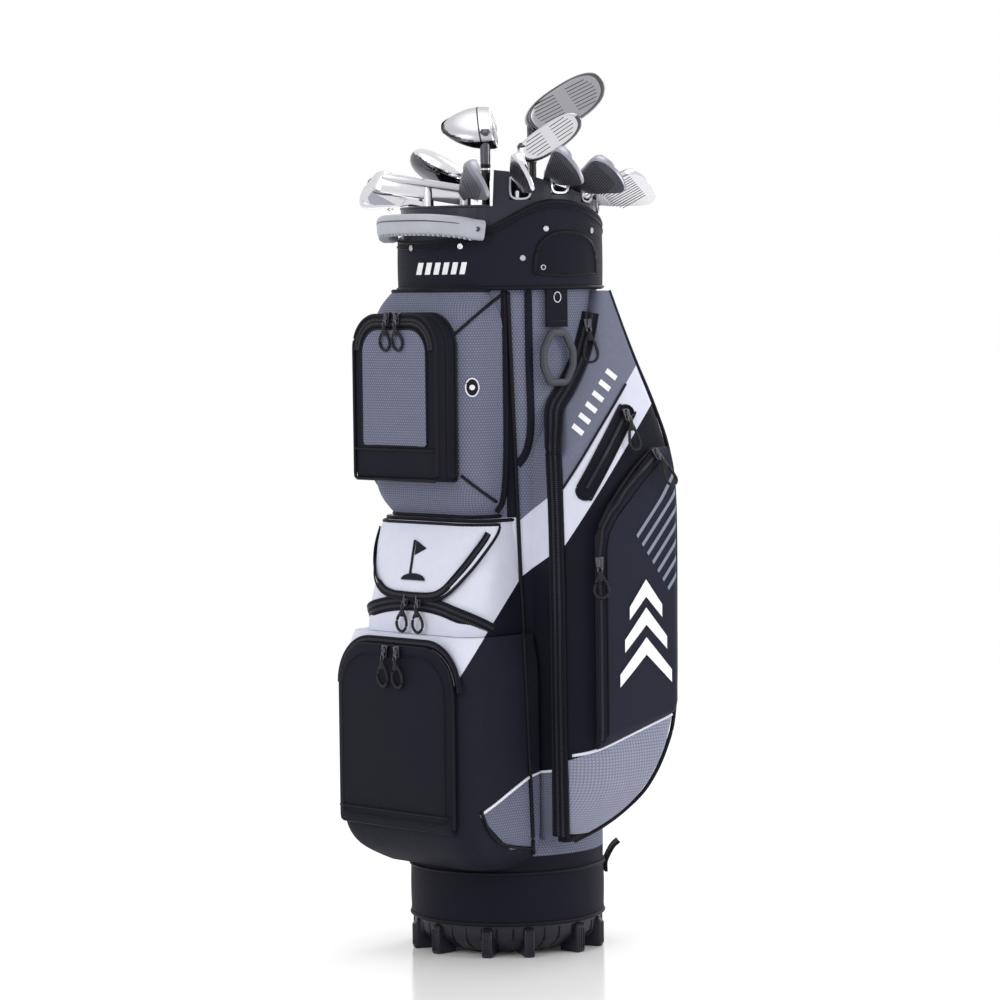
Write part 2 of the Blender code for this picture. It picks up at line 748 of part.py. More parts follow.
def ribbon(name, path, width, thick, across, finish):
    """A strap of rectangular section along a path; across is the direction of its width."""
    rings = []
    for i, p in enumerate(path):
        ahead = path[min(i + 1, len(path) - 1)] - path[max(i - 1, 0)]
        wide = across - ahead.normalized() * across.dot(ahead.normalized())
        wide = wide.normalized() * width / 2
        out = ahead.cross(wide).normalized() * thick / 2
        rings.append([p + wide + out, p - wide + out, p - wide - out, p + wide - out])
    return add(name, lofted(name, rings), finish)


def handle():
    """The grab handle: a bar that stands off the front of the cuff."""
    z = 0.862
    bar, tall = 0.014, 0.030
    root = CUFF_R + 0.0006 + bar / 2
    points = []
    for degrees, reach in ((-37, 0), (-34, 0.005), (-27, 0.0135), (-15, 0.022), (0, 0.0255),
                           (15, 0.022), (27, 0.0135), (34, 0.005), (37, 0)):
        a = math.radians(degrees - 90)
        points.append(((root + reach) * math.cos(a), (root + reach) * math.sin(a), z))
    ribbon("front_handle", smooth_path(points, 3), tall, bar, Vector((0, 0, 1)), GREY_PLASTIC)


def towel_ring():
    """A webbing tab sewn on under the cuff and a six-sided plastic ring that hangs from it."""
    a = math.radians(-10)
    out = Vector((math.cos(a), math.sin(a), 0))
    side = Vector((-math.sin(a), math.cos(a), 0))
    top = out * (TUBE_R + 0.0028)
    path = [top + Vector((0, 0, z)) for z in (0.787, 0.765, 0.742)]
    ribbon("towel_strap", path, 0.030, 0.003, side, WEBBING)
    centre = out * (TUBE_R + 0.0045)
    outline = [(-0.012, 0.741), (0.012, 0.741), (0.026, 0.715), (0.026, 0.692), (0.014, 0.668),
               (-0.014, 0.668), (-0.026, 0.692), (-0.026, 0.715)]
    hole = [(0.72 * s, 0.705 + 0.72 * (z - 0.705)) for s, z in outline]

    def plate(points, near, far):
        rings = []
        for depth in (near, far):
            rings.append([centre + out * depth + side * s + Vector((0, 0, z)) for s, z in points])
        return rings

    ring = add("towel_ring", lofted("ring", plate(outline, 0.0, 0.005)), GREY_PLASTIC)
    boolean(ring, cutter("ring_hole", lofted("hole", plate(hole, -0.01, 0.02))), "DIFFERENCE")


def shoulder_strap():
    """The padded strap on the back, fixed at both ends and slack between."""
    x = 0.030
    back = math.sqrt(TUBE_R**2 - x**2) + 0.009
    points = [(x, back, 0.775), (x, back + 0.010, 0.740), (x, back + 0.032, 0.660),
              (x, back + 0.044, 0.540), (x, back + 0.036, 0.420), (x, back + 0.016, 0.330),
              (x, back, 0.280)]
    ribbon("shoulder_strap", smooth_path(points, 3), 0.048, 0.009, Vector((1, 0, 0)), WEBBING)


def base_handle():
    """A webbing loop over the base's rear edge, for lifting the bag into a car."""
    a = math.radians(52)
    out = Vector((math.cos(a), math.sin(a), 0))
    side = Vector((-math.sin(a), math.cos(a), 0))
    near = TUBE_R + 0.0028
    path = [out * (near + r) + Vector((0, 0, z))
            for r, z in ((0, 0.084), (0, 0.096), (0.004, 0.106), (0.010, 0.116), (0.017, 0.122))]
    ribbon("base_lift_handle", path, 0.026, 0.004, side, WEBBING)


SLIDERS = {
    # name: (place, width direction) of each zip slider with its pull
    "ball_zip_slider": ((0.000, -0.1830, 0.362), (1, 0, 0)),
    "pouch_zip_slider": ((0.000, -0.1732, 0.750), (1, 0, 0)),
    "side_zip_slider": ((0.2060, -0.030, 0.470), (0, 1, 0)),
    "dry_zip_slider": ((0.1775, 0.062, 0.640), (0, 1, 0)),
}


def zip_sliders():
    for name, (place, across) in SLIDERS.items():
        wide = Vector(across)
        out = Vector((0, -1, 0)) if across[0] else Vector((1, 0, 0))
        size = wide * 0.011 + Vector([abs(c) for c in out]) * 0.004 + Vector((0, 0, 0.014))
        add(name, block(name, size, Vector(place)), STEEL)


base()
tube()
cuff()
organiser_top()
dividers()
stay_rods()
clubs()
ball_pocket()
cooler_pocket()
upper_pocket()
side_pocket()
left_pocket()
handle()
towel_ring()
shoulder_strap()
base_handle()
zip_sliders()
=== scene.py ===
"""The looks of a golf cart bag and its clubs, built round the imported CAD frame.

Metres, +Z up. The front pockets face -Y and the clothing pocket is on +X. Seams and colour
fields that run over several pockets are laid out on one upright plane through the bag's axis:
"across" is the distance along that plane, turned TURN from the X axis, and height is Z.
"""

import bmesh
import bpy
import math
from mathutils import Matrix, Vector, noise
from mathutils.bvhtree import BVHTree


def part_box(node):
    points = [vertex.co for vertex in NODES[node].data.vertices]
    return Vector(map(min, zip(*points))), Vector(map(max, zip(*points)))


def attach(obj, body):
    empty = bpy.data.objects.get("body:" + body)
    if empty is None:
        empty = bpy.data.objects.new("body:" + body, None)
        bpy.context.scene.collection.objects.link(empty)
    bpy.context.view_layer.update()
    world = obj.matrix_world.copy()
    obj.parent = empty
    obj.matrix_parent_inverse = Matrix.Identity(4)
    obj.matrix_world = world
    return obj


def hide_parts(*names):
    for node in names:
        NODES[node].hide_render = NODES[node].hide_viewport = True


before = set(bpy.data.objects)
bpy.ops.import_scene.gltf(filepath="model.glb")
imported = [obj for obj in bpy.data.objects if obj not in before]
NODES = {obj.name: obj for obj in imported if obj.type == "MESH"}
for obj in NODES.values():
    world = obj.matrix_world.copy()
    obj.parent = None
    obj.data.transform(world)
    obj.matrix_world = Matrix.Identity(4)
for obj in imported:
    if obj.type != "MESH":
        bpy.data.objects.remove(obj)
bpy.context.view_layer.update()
X, Y, UP = Vector((1, 0, 0)), Vector((0, 1, 0)), Vector((0, 0, 1))


def radial(angle):
    """The way out from the axis at an angle."""
    return Vector((math.cos(angle), math.sin(angle), 0))


def tangent(angle):
    return Vector((-math.sin(angle), math.cos(angle), 0))


def around(count):
    """The angles of even steps round a full turn."""
    return [2 * math.pi * i / count for i in range(count)]


TURN = math.radians(47)
ACROSS, DEEP = radial(TURN), tangent(TURN)
TUBE_R = 0.116
# the upright seam beside the front pockets: across = SEAM_START + SEAM_SLOPE * height
SEAM_START, SEAM_SLOPE = 0.0345, -0.0330


# ---------------------------------------------------------------- camera, light and floor
CAMERA_AWAY, CAMERA_HEIGHT, VIEW_WIDTH, SENSOR = 4.6, 0.79, 1.2, 36
AIM = ACROSS * -0.0035 + UP * 0.535
LAMPS = {  # place, size, power
    "key": (-DEEP * 1.9 - ACROSS * 1.7 + UP * 1.7, (0.9, 1.6), 16),
    "side": (ACROSS * 2.2 - DEEP * 0.7 + UP * 1.2, (0.7, 1.8), 15),
    "top": (UP * 2.6 + DEEP * 0.3, (1.2, 1.2), 8),
    "rim": (DEEP * 1.8 + ACROSS * 1.0 + UP * 1.6, (0.8, 1.6), 14),
}


def looking(place, aim):
    turn = (aim - place).to_track_quat("-Z", "Y").to_matrix().to_4x4()
    return Matrix.Translation(place) @ turn


def linked(name, data):
    made = bpy.data.objects.new(name, data)
    bpy.context.scene.collection.objects.link(made)
    return made


def studio():
    scene = bpy.context.scene
    scene.view_settings.view_transform = "Standard"
    camera = linked("camera", bpy.data.cameras.new("camera"))
    roll = Matrix.Rotation(math.radians(-0.7), 4, "Z")
    camera.matrix_world = looking(-DEEP * CAMERA_AWAY + UP * CAMERA_HEIGHT, AIM) @ roll
    camera.data.sensor_width = SENSOR
    camera.data.lens = SENSOR * CAMERA_AWAY / VIEW_WIDTH
    scene.camera = camera

    scene.world = bpy.data.worlds.new("studio")
    scene.world.use_nodes = True
    sky = scene.world.node_tree.nodes["Background"]
    sky.inputs[0].default_value = (1, 1, 1, 1)
    sky.inputs[1].default_value = 1.0

    for name, (place, size, power) in LAMPS.items():
        light = bpy.data.lights.new(name, "AREA")
        light.shape = "RECTANGLE"
        light.size, light.size_y = size
        light.energy = power
        linked(name, light).matrix_world = looking(place, UP * 0.55)

    bm = bmesh.new()
    bmesh.ops.create_grid(bm, x_segments=1, y_segments=1, size=30)
    floor = linked("floor", mesh_from(bm, "floor"))
    finish = Shader("floor", (0.985, 0.985, 0.985), 0.16)
    finish.bsdf.inputs["Specular IOR Level"].default_value = 0.35
    floor.data.materials.append(finish.mat)


def mesh_from(bm, name):
    mesh = bpy.data.meshes.new(name)
    bm.to_mesh(mesh)
    bm.free()
    return mesh


# ---------------------------------------------------------------- materials
class Shader:
    """One material and the few node calls that the looks need."""

    def __init__(self, name, colour=(0.5, 0.5, 0.5), rough=0.5, metal=0.0):
        self.mat = bpy.data.materials.new(name)
        self.mat.use_nodes = True
        self.tree = self.mat.node_tree
        self.bsdf = self.tree.nodes["Principled BSDF"]
        self.bsdf.inputs["Base Color"].default_value = (*colour, 1)
        self.bsdf.inputs["Roughness"].default_value = rough
        self.bsdf.inputs["Metallic"].default_value = metal

    def node(self, kind, **settings):
        made = self.tree.nodes.new(kind)
        for key, value in settings.items():
            setattr(made, key, value)
        return made

    def put(self, socket, value):
        if isinstance(value, bpy.types.NodeSocket):
            self.tree.links.new(value, socket)
        elif isinstance(value, tuple) and socket.type == "RGBA":
            socket.default_value = (*value, 1)
        else:
            socket.default_value = value

    def filled(self, made, values):
        for socket, value in zip(made.inputs, values):
            self.put(socket, value)
        return made.outputs

    def math(self, operation, *values, clamp=False):
        return self.filled(self.node("ShaderNodeMath", operation=operation, use_clamp=clamp), values)[0]

    def vector(self, operation, *values, out=0):
        return self.filled(self.node("ShaderNodeVectorMath", operation=operation), values)[out]

    def split(self, value):
        return self.filled(self.node("ShaderNodeSeparateXYZ"), [value])

    def mix(self, share, a, b, colour=True):
        made = self.node("ShaderNodeMix", data_type="RGBA" if colour else "FLOAT")
        first, out = (6, 2) if colour else (2, 0)
        for index, value in ((0, share), (first, a), (first + 1, b)):
            self.put(made.inputs[index], value)
        return made.outputs[out]

    def noise(self, where, scale, detail=3.0, rough=0.5):
        made = self.node("ShaderNodeTexNoise")
        for key, value in (("Vector", where), ("Scale", scale), ("Detail", detail), ("Roughness", rough)):
            self.put(made.inputs[key], value)
        return made.outputs["Fac"]

    def place(self):
        """The point on the object, in metres."""
        return self.node("ShaderNodeTexCoord").outputs["Object"]

    def cloth_mm(self):
        """The point on the flat cloth, in millimetres."""
        uv = self.node("ShaderNodeTexCoord").outputs["UV"]
        return self.vector("MULTIPLY", uv, (1000, 1000, 0))

    def bump(self, height, metres, strength=1.0):
        made = self.node("ShaderNodeBump")
        for key, value in (("Strength", strength), ("Distance", metres), ("Height", height)):
            self.put(made.inputs[key], value)
        if self.bsdf.inputs["Normal"].is_linked:
            self.put(made.inputs["Normal"], self.bsdf.inputs["Normal"].links[0].from_socket)
        self.tree.links.new(made.outputs[0], self.bsdf.inputs["Normal"])


def honeycomb(s, mm, pitch):
    """A woven honeycomb: 1 in the middle of each cell, 0 in the lines between."""
    x, y, _ = s.split(mm)
    k = 2 * math.pi / pitch * 2 / math.sqrt(3)
    a = s.math("MULTIPLY", x, k * math.sqrt(3) / 2)
    b = s.math("MULTIPLY", y, k / 2)
    total = s.math("COSINE", s.math("MULTIPLY", b, 2.0))
    for operation in ("ADD", "SUBTRACT"):
        total = s.math("ADD", total, s.math("COSINE", s.math(operation, a, b)))
    return s.math("MULTIPLY_ADD", total, 1 / 4.5, 1 / 3)


def plain_weave(s, mm, pitch):
    x, y, _ = s.split(mm)
    a, b = [s.math("SINE", s.math("MULTIPLY", value, 2 * math.pi / pitch)) for value in (x, y)]
    return s.math("MULTIPLY_ADD", s.math("MULTIPLY", a, b), 0.5, 0.5)


# What each kind of cloth is: colour, weave, pitch in mm, how dark the lines are (painted shade in the weave's
# valleys), bump, roughness.
CLOTHS = {
    "black": ((0.0070, 0.0072, 0.0170), plain_weave, 1.3, 0.45, 0.00022, 0.62),
    "black_mesh": ((0.0112, 0.0114, 0.0225), honeycomb, 3.4, 0.75, 0.00040, 0.66),
    # the door's black is the same black cloth made lighter: painted light on the door's lit side
    "lit_door_black": ((0.0165, 0.0185, 0.0360), plain_weave, 1.3, 0.45, 0.00022, 0.62),
    "grey": ((0.208, 0.222, 0.318), honeycomb, 3.6, 0.42, 0.00045, 0.62),
    "pale_grey": ((0.340, 0.355, 0.470), honeycomb, 4.4, 0.50, 0.00045, 0.58),
    "heather": ((0.155, 0.168, 0.232), plain_weave, 2.2, 0.75, 0.00015, 0.55),
    "white": ((0.62, 0.635, 0.745), plain_weave, 2.4, 0.93, 0.00010, 0.50),
}


def cloth_look(s, kind, place, mm):
    """The colour, height and roughness of one kind of cloth."""
    colour, weave, pitch, dark, depth, rough = CLOTHS[kind]
    height = weave(s, mm, pitch)
    scale, spread = (900, 1.1) if kind == "heather" else (60, 0.16)
    mottle = s.math("MULTIPLY_ADD", s.noise(place, scale, 4.0, 0.7), spread, 1 - spread / 2)
    # the lines between the weave's cells are darkened in colour by its height: painted shade in the weave's
    # valleys; the mottle is random tone
    shade = s.math("MULTIPLY", s.math("MULTIPLY_ADD", height, 1 - dark, dark), mottle)
    tinted = s.vector("SCALE", colour)
    s.put(tinted.node.inputs[3], shade)
    return tinted, s.math("MULTIPLY", height, depth * 1000), rough


def cloth(name, base, *layers):
    """A cloth whose colour fields are cut by straight seams. A layer is (kind, test, ...):
    the kind fills the points where every test holds."""
    s = Shader(name)
    place, mm = s.place(), s.cloth_mm()
    axes = dict(zip("xyz", s.split(place)))
    # "u" is across, mirrored on the far side; "v" counts from the upright seam beside the pockets
    mirrored = s.vector("MULTIPLY", s.vector("ABSOLUTE", place), (1, 0, 0))
    across = s.vector("DOT_PRODUCT", mirrored, tuple(ACROSS), out=1)
    axes["u"] = s.math("MULTIPLY_ADD", axes["y"], ACROSS.y, across)
    seam = s.math("MULTIPLY_ADD", axes["z"], SEAM_SLOPE, SEAM_START)
    axes["v"] = s.math("SUBTRACT", axes["u"], seam)
    kinds = dict.fromkeys([base] + [layer[0] for layer in layers])
    looks = {kind: cloth_look(s, kind, place, mm) for kind in kinds}
    found = looks[base]
    for kind, *tests in layers:
        share = None
        for axis, sign, *line in tests:
            if axis == "line":
                (u1, z1), (u2, z2) = line
                slope = (z2 - z1) / (u2 - u1)
                edge = s.math("MULTIPLY_ADD", axes["u"], slope, z1 - slope * u1)
                value, limit = s.math("SUBTRACT", axes["z"], edge), 0.0
            else:
                value, limit = axes[axis], line[0]
            hit = s.math("GREATER_THAN" if sign > 0 else "LESS_THAN", value, limit)
            share = hit if share is None else s.math("MULTIPLY", share, hit)
        pairs = zip(found, looks[kind], (True, False, False))
        found = [s.mix(share, a, b, colour=is_colour) for a, b, is_colour in pairs]
    colour, height, rough = found
    s.put(s.bsdf.inputs["Base Color"], colour)
    same = len({look[2] for look in looks.values()}) == 1
    s.put(s.bsdf.inputs["Roughness"], looks[base][2] if same else rough)
    s.bsdf.inputs["Specular IOR Level"].default_value = 0.12
    s.bump(s.noise(place, 22, 2.0, 0.4), 0.0016, 0.5)
    s.bump(height, 0.001)
    return s.mat


def plastic(name, colour, rough, grain=0.00012, scale=1400, shine=0.3):
    s = Shader(name, colour, rough)
    s.bsdf.inputs["Specular IOR Level"].default_value = shine
    place = s.place()
    wear = s.noise(place, 35, 4.0, 0.6)
    s.put(s.bsdf.inputs["Roughness"], s.math("MULTIPLY_ADD", wear, 0.2, rough - 0.1))
    dim, bright = tuple(c * 0.85 for c in colour), tuple(min(1, c * 1.15) for c in colour)
    s.put(s.bsdf.inputs["Base Color"], s.mix(wear, dim, bright))
    s.bump(s.noise(place, scale, 2.0, 0.5), grain)
    return s.mat


def metal(name, colour, rough, brushed=0.25, stretch=(60, 60, 1500)):
    s = Shader(name, colour, rough, 1.0)
    place = s.place()
    lines = s.noise(s.vector("MULTIPLY", place, stretch), 1.0, 3.0, 0.6)
    smudge = s.math("MULTIPLY_ADD", s.noise(place, 40, 3.0, 0.5), 0.12, -0.06)
    streaks = s.math("MULTIPLY_ADD", lines, brushed, rough - brushed / 2)
    s.put(s.bsdf.inputs["Roughness"], s.math("ADD", streaks, smudge, clamp=True))
    s.bump(lines, 0.00004, 0.4)
    return s.mat


# The colour fields. One design runs over tube, pockets and gusset.
GUSSET, FRONT_SIDE, SIDE = ("v", 1, 0.0), ("v", -1, 0.0), ("u", 1, 0.060)
UPPER_FOOT = 0.5205
FRONT_BAND = ((-0.056, 0.335), (0.0205, 0.4505))
GUSSET_BAND_TOP, GUSSET_BAND_LOW = ((0.0143, 0.5125), (0.0535, 0.545)), ((0.0205, 0.4505), (0.054, 0.476))
SIDE_BAND_TOP, SIDE_BAND_LOW = ((0.0685, 0.553), (0.1285, 0.6466)), ((0.0695, 0.486), (0.1295, 0.5772))
REAR_EDGE = [("u", 1, 0.0045), ("z", -1, 0.786)]
PANEL_LAYERS = [
    ("black", FRONT_SIDE, *REAR_EDGE, ("z", 1, UPPER_FOOT)),
    ("white", FRONT_SIDE, ("line", 1, *FRONT_BAND), ("z", 1, 0.2), ("z", -1, UPPER_FOOT)),
    ("grey", FRONT_SIDE, ("line", -1, (-0.029, 0.181), (0.019, 0.214)),
     ("line", 1, (-0.029, 0.176), (0.004, 0.133)), ("z", 1, 0.133)),
    ("grey", GUSSET, ("line", 1, *GUSSET_BAND_TOP)),
    ("white", GUSSET, ("line", -1, *GUSSET_BAND_TOP), ("line", 1, *GUSSET_BAND_LOW)),
    ("grey", GUSSET, ("line", -1, (0.0345, 0.2165), (0.060, 0.2245)), ("z", 1, 0.120)),
]
M = {
    "black": cloth("black_cloth", "black"),
    # the door's cloth: black made lighter, painted light on the door's lit side
    "door": cloth("lit_door_cloth", "lit_door_black"),
    "grey": cloth("grey_cloth", "grey"),
    "white": cloth("white_cloth", "white"),
    "mesh": cloth("black_mesh_cloth", "black_mesh"),
    "webbing": cloth("black_webbing", "black"),
    "tape": cloth("zip_tape", "black"),
    "flap": cloth("flap_cloth", "black"),
    "pouch": cloth("pouch_panels", "black"),
    "upper": cloth("upper_panels", "grey", ("black", *REAR_EDGE)),
    "panels": cloth("bag_panels", "black_mesh", *PANEL_LAYERS),
    "tube": cloth("bag_tube", "grey", ("black", ("z", -1, UPPER_FOOT)), *PANEL_LAYERS),
    "side": cloth(
        "side_panels", "black", *PANEL_LAYERS, ("black", SIDE),
        ("heather", SIDE, ("line", 1, *SIDE_BAND_TOP)),
        ("white", SIDE, ("line", -1, *SIDE_BAND_TOP), ("line", 1, *SIDE_BAND_LOW)),
        ("pale_grey", SIDE, ("line", -1, (0.105, 0.249), (0.199, 0.283)), ("z", 1, 0.15))),
    "cooler": cloth(
        "cooler_panels", "white", ("black", FRONT_SIDE, ("line", -1, *FRONT_BAND)),
        ("black_mesh", GUSSET, ("line", -1, *GUSSET_BAND_LOW)),
        ("grey", GUSSET, ("line", 1, *GUSSET_BAND_TOP))),
    "moulded": plastic("moulded_black", (0.010, 0.010, 0.019), 0.42),
    "deck": plastic("moulded_top", (0.019, 0.020, 0.034), 0.36, 0.00008),
    "feet": plastic("moulded_base", (0.009, 0.009, 0.016), 0.38),
    "grey_plastic": plastic("grey_plastic", (0.36, 0.37, 0.42), 0.42, 0.00005),
    "ring_plastic": plastic("ring_plastic", (0.040, 0.043, 0.054), 0.38, 0.00004),
    "cord": plastic("pull_cord", (0.008, 0.008, 0.010), 0.6, 0.0003, 900),
    "teeth": plastic("zip_teeth", (0.030, 0.030, 0.034), 0.35, 0.00005),
    "rubber": plastic("grip_rubber", (0.012, 0.012, 0.013), 0.75, 0.00025, 1100),
    "graphite": plastic("graphite", (0.010, 0.010, 0.011), 0.16, 0.00001),
    "piping": plastic("black_piping", (0.006, 0.006, 0.009), 0.55, 0.00005, shine=0.15),
    "white_piping": plastic("white_piping", (0.70, 0.71, 0.78), 0.45, 0.00005),
    "white_print": plastic("white_print", (0.80, 0.80, 0.82), 0.5, 0.00003),
    "stripe": plastic("blue_grey_print", (0.19, 0.22, 0.27), 0.5, 0.00003),
    "groove": plastic("groove_paint", (0.02, 0.02, 0.022), 0.5, 0.00001),
    "red": plastic("red_paint", (0.55, 0.03, 0.02), 0.3, 0.00001),
    "steel": metal("polished_steel", (0.70, 0.70, 0.73), 0.15, 0.12),
    "satin": metal("satin_steel", (0.52, 0.52, 0.55), 0.34, 0.2),
    "dark_steel": metal("dark_steel", (0.33, 0.33, 0.385), 0.38, 0.15),
    "slider_steel": metal("slider_steel", (0.10, 0.10, 0.115), 0.30, 0.15),
    "rod": metal("rod", (0.62, 0.62, 0.64), 0.35, 0.2),
    "brushed": metal("brushed_face", (0.36, 0.36, 0.38), 0.30, 0.3, (900, 900, 60)),
    "wood_dark": metal("dark_gloss", (0.10, 0.10, 0.115), 0.16, 0.08),
    "shaft": metal("shaft_steel", (0.50, 0.50, 0.53), 0.18, 0.12),
}


# ---------------------------------------------------------------- mesh helpers
def new_object(name, mesh, finish, body, node=None, slot=None, smooth=40):
    """A piece that rides on a body; its edges are sharp above `smooth` degrees."""
    made = linked(name, mesh)
    mesh.materials.append(M[finish])
    if smooth is not None:
        mesh.shade_smooth()
        if smooth < 180:
            mesh.set_sharp_from_angle(angle=math.radians(smooth))
    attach(made, body)
    if node:
        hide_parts(node)
    return made


def grid_mesh(name, rows, closed=True, caps=True):
    """A mesh through rows of points, with a UV map that measures the flat cloth in metres."""
    bm = bmesh.new()
    uv = bm.loops.layers.uv.new("UVMap")
    verts = [[bm.verts.new(p) for p in row] for row in rows]
    count = len(rows[0])
    spans = count if closed else count - 1
    lengths = []
    for row in rows:
        along = [0.0]
        for i in range(spans):
            along.append(along[-1] + (Vector(row[(i + 1) % count]) - Vector(row[i])).length)
        lengths.append([value - along[-1] / 2 for value in along])
    rise = [0.0]
    for a, b in zip(rows, rows[1:]):
        rise.append(rise[-1] + max((Vector(a[count // 2]) - Vector(b[count // 2])).length, 1e-5))
    for r in range(len(rows) - 1):
        for i in range(spans):
            corners = ((r, i), (r, i + 1), (r + 1, i + 1), (r + 1, i))
            face = bm.faces.new([verts[k][j % count] for k, j in corners])
            for loop, (k, j) in zip(face.loops, corners):
                loop[uv].uv = (lengths[k][j], rise[k])
    if caps:
        for row in (verts[0][::-1], verts[-1]):
            for loop in bm.faces.new(row).loops:
                loop[uv].uv = loop.vert.co.xy
    bmesh.ops.recalc_face_normals(bm, faces=bm.faces)
    return mesh_from(bm, name)


def solid(name, rows, finish, body, closed=True, caps=True, place=None, **more):
    """A piece through rows of points, moved by `place`."""
    mesh = grid_mesh(name, rows, closed, caps)
    if place:
        mesh.transform(place)
    return new_object(name, mesh, finish, body, **more)


def flat_uv(mesh, u_axis):
    """Measures a flat panel's UV map along an axis and height."""
    for loop, value in zip(mesh.loops, mesh.uv_layers["UVMap"].data):
        p = mesh.vertices[loop.vertex_index].co
        value.uv = (p.dot(u_axis), p.z)


def catmull(values, t):
    """One number on a Catmull-Rom curve, from four in a row."""
    a, b, c, d = values
    return 0.5 * (2 * b + (c - a) * t + (2 * a - 5 * b + 4 * c - d) * t * t + (3 * b - a - 3 * c + d) * t**3)


def curve_through(points, steps=6):
    """Points on a Catmull-Rom curve through the given ones."""
    pts = [Vector(p) for p in points]
    ring = [2 * pts[0] - pts[1]] + pts + [2 * pts[-1] - pts[-2]]
    found = [catmull(ring[i - 1 : i + 3], k / steps) for i in range(1, len(ring) - 2) for k in range(steps)]
    return found + [pts[-1]]


def even(points, step=None, count=None):
    """The same path with points at even distances."""
    pts = [Vector(p) for p in points]
    along = [0.0]
    for a, b in zip(pts, pts[1:]):
        along.append(along[-1] + (b - a).length)
    count = count or max(2, int(round(along[-1] / step)) + 1)
    found, k = [], 0
    for i in range(count):
        want = along[-1] * i / (count - 1)
        while k < len(along) - 2 and along[k + 1] < want:
            k += 1
        share = (want - along[k]) / max(along[k + 1] - along[k], 1e-9)
        found.append(pts[k].lerp(pts[k + 1], min(max(share, 0), 1)))
    return found


def flat_curve(pairs, steps):
    """A curve through pairs of numbers."""
    return [tuple(p.xy) for p in curve_through([(a, b, 0) for a, b in pairs], steps)]


def even_xz(pairs, y=0.0, step=0.004):
    """An upright path at even steps, from (x, z) pairs at one y."""
    return even([Vector((x, y, z)) for x, z in pairs], step)


def direction(path, i, closed=False):
    if closed:
        return (path[(i + 1) % len(path)] - path[i - 1]).normalized()
    return (path[min(i + 1, len(path) - 1)] - path[max(i - 1, 0)]).normalized()


def sweep(name, path, section, finish, body="bag", normals=None, closed=False, **more):
    """A section of (side, out) points carried along a path. normals give out at each point."""
    rows = []
    for i, p in enumerate(path):
        ahead = direction(path, i, closed)
        out = normals[i] if normals else ahead.cross(UP if abs(ahead.z) < 0.95 else X)
        out = (out - ahead * out.dot(ahead)).normalized()
        side = out.cross(ahead).normalized()
        rows.append([p + side * a + out * b for a, b in section])
    if closed:
        rows.append(rows[0])
    mesh = grid_mesh(name, rows, caps=not closed)
    if closed:
        bm = bmesh.new()
        bm.from_mesh(mesh)
        bmesh.ops.remove_doubles(bm, verts=bm.verts, dist=1e-6)
        bm.to_mesh(mesh)
        bm.free()
    return new_object(name, mesh, finish, body, **more)


def flat(width, thick):
    """A strap's section, lying on out = 0."""
    w, t, r = width / 2, thick, thick * 0.3
    return [(-w, 0), (-w, t - r), (-w + r, t), (w - r, t), (w, t - r), (w, 0)][::-1]


def pipe(name, path, radius, finish="piping", body="bag", slot="black_fabric", closed=False):
    section = [(radius * math.cos(a), radius * math.sin(a)) for a in around(8)]
    return sweep(name, path, section, finish, body, closed=closed, slot=slot, smooth=180)


def band(name, path, width, thick, finish, normals, slot="black_fabric", smooth=50, **more):
    return sweep(name, path, flat(width, thick), finish, normals=normals, slot=slot, smooth=smooth, **more)


def rumple(rows, amount, scale, seed=0.0):
    """Soft unevenness: moves the points of a skin along the way out from the bag's axis."""
    for row in rows:
        for i, p in enumerate(row):
            out = Vector((p.x, p.y, 0)).normalized()
            n = noise.noise(Vector((p.x * scale + seed, p.y * scale, p.z * scale * 0.7)))
            row[i] = p + out * n * amount
    return rows


def lerp_levels(levels, z):
    """A row of a table at a height between its rows; the height is each row's first number."""
    for low, high in zip(levels, levels[1:]):
        if z <= high[0]:
            t = (z - low[0]) / (high[0] - low[0])
            return [a + (b - a) * t for a, b in zip(low, high)]
    return list(levels[-1])


def arc(centre, radius, start, end, count):
    angles = [math.radians(start + i * (end - start) / (count - 1)) for i in range(count)]
    return [(centre[0] + radius * math.cos(a), centre[1] + radius * math.sin(a)) for a in angles]


def chaikin(points, times=3):
    """Cuts a path's corners, and keeps its ends."""
    for _ in range(times):
        cut = [points[0]]
        for a, b in zip(points, points[1:]):
            cut += [a.lerp(b, 0.25), a.lerp(b, 0.75)]
        points = cut + [points[-1]]
    return points


def smooth_rows(rows, times):
    """Rounds a skin along its height and keeps its first and last rows."""
    for _ in range(times):
        kept = [list(row) for row in rows]
        for r in range(1, len(rows) - 1):
            triples = zip(kept[r - 1], kept[r], kept[r + 1])
            rows[r] = [a * 0.25 + b * 0.5 + c * 0.25 for a, b, c in triples]
    return rows


def turned(profile, count=28):
    """A round skin from (radius, height) points."""
    return [[radial(a) * r + UP * z for a in around(count)] for r, z in profile]


def bulge(share, power):
    """1 in the middle of 0 to 1 and 0 at its ends."""
    return 1 - (2 * share - 1) ** power


def rounded_edge(share, steep, least):
    """Rises from a low edge to 1 over a panel's rim, for a share from 0 to 1."""
    return min(1.0, steep * min(share, 1 - share) + least) ** 0.5


def front_row(z, half, front, radius, crown=0.0, back=0.054, count=76):
    """Plan outline of a front pocket at a height, bulging a little between its corners."""
    pts = [(half, -back)] + arc((half - radius, -front + radius), radius, 0, -90, 9)
    pts += arc((-half + radius, -front + radius), radius, -90, -180, 9) + [(-half, -back)]
    row = even([Vector((x, y, z)) for x, y in pts], count=count)
    for i, p in enumerate(row):
        if p.y < -front + radius:
            row[i] = p - Y * (crown * max(0.0, 1 - (p.x / half) ** 2) ** 0.5)
    return row


def front_skin(levels, crown, smoothing=5):
    low, high = levels[0][0], levels[-1][0]
    count = int(round((high - low) / 0.005))
    rows = []
    for i in range(count + 1):
        level = lerp_levels(levels, low + (high - low) * i / count)
        level[0] = low + (high - low) * i / count
        rows.append(front_row(*level, crown=crown * max(0.0, bulge(i / count, 4))))
    return smooth_rows(rumple(rows, 0.0012, 16, low * 50), smoothing)


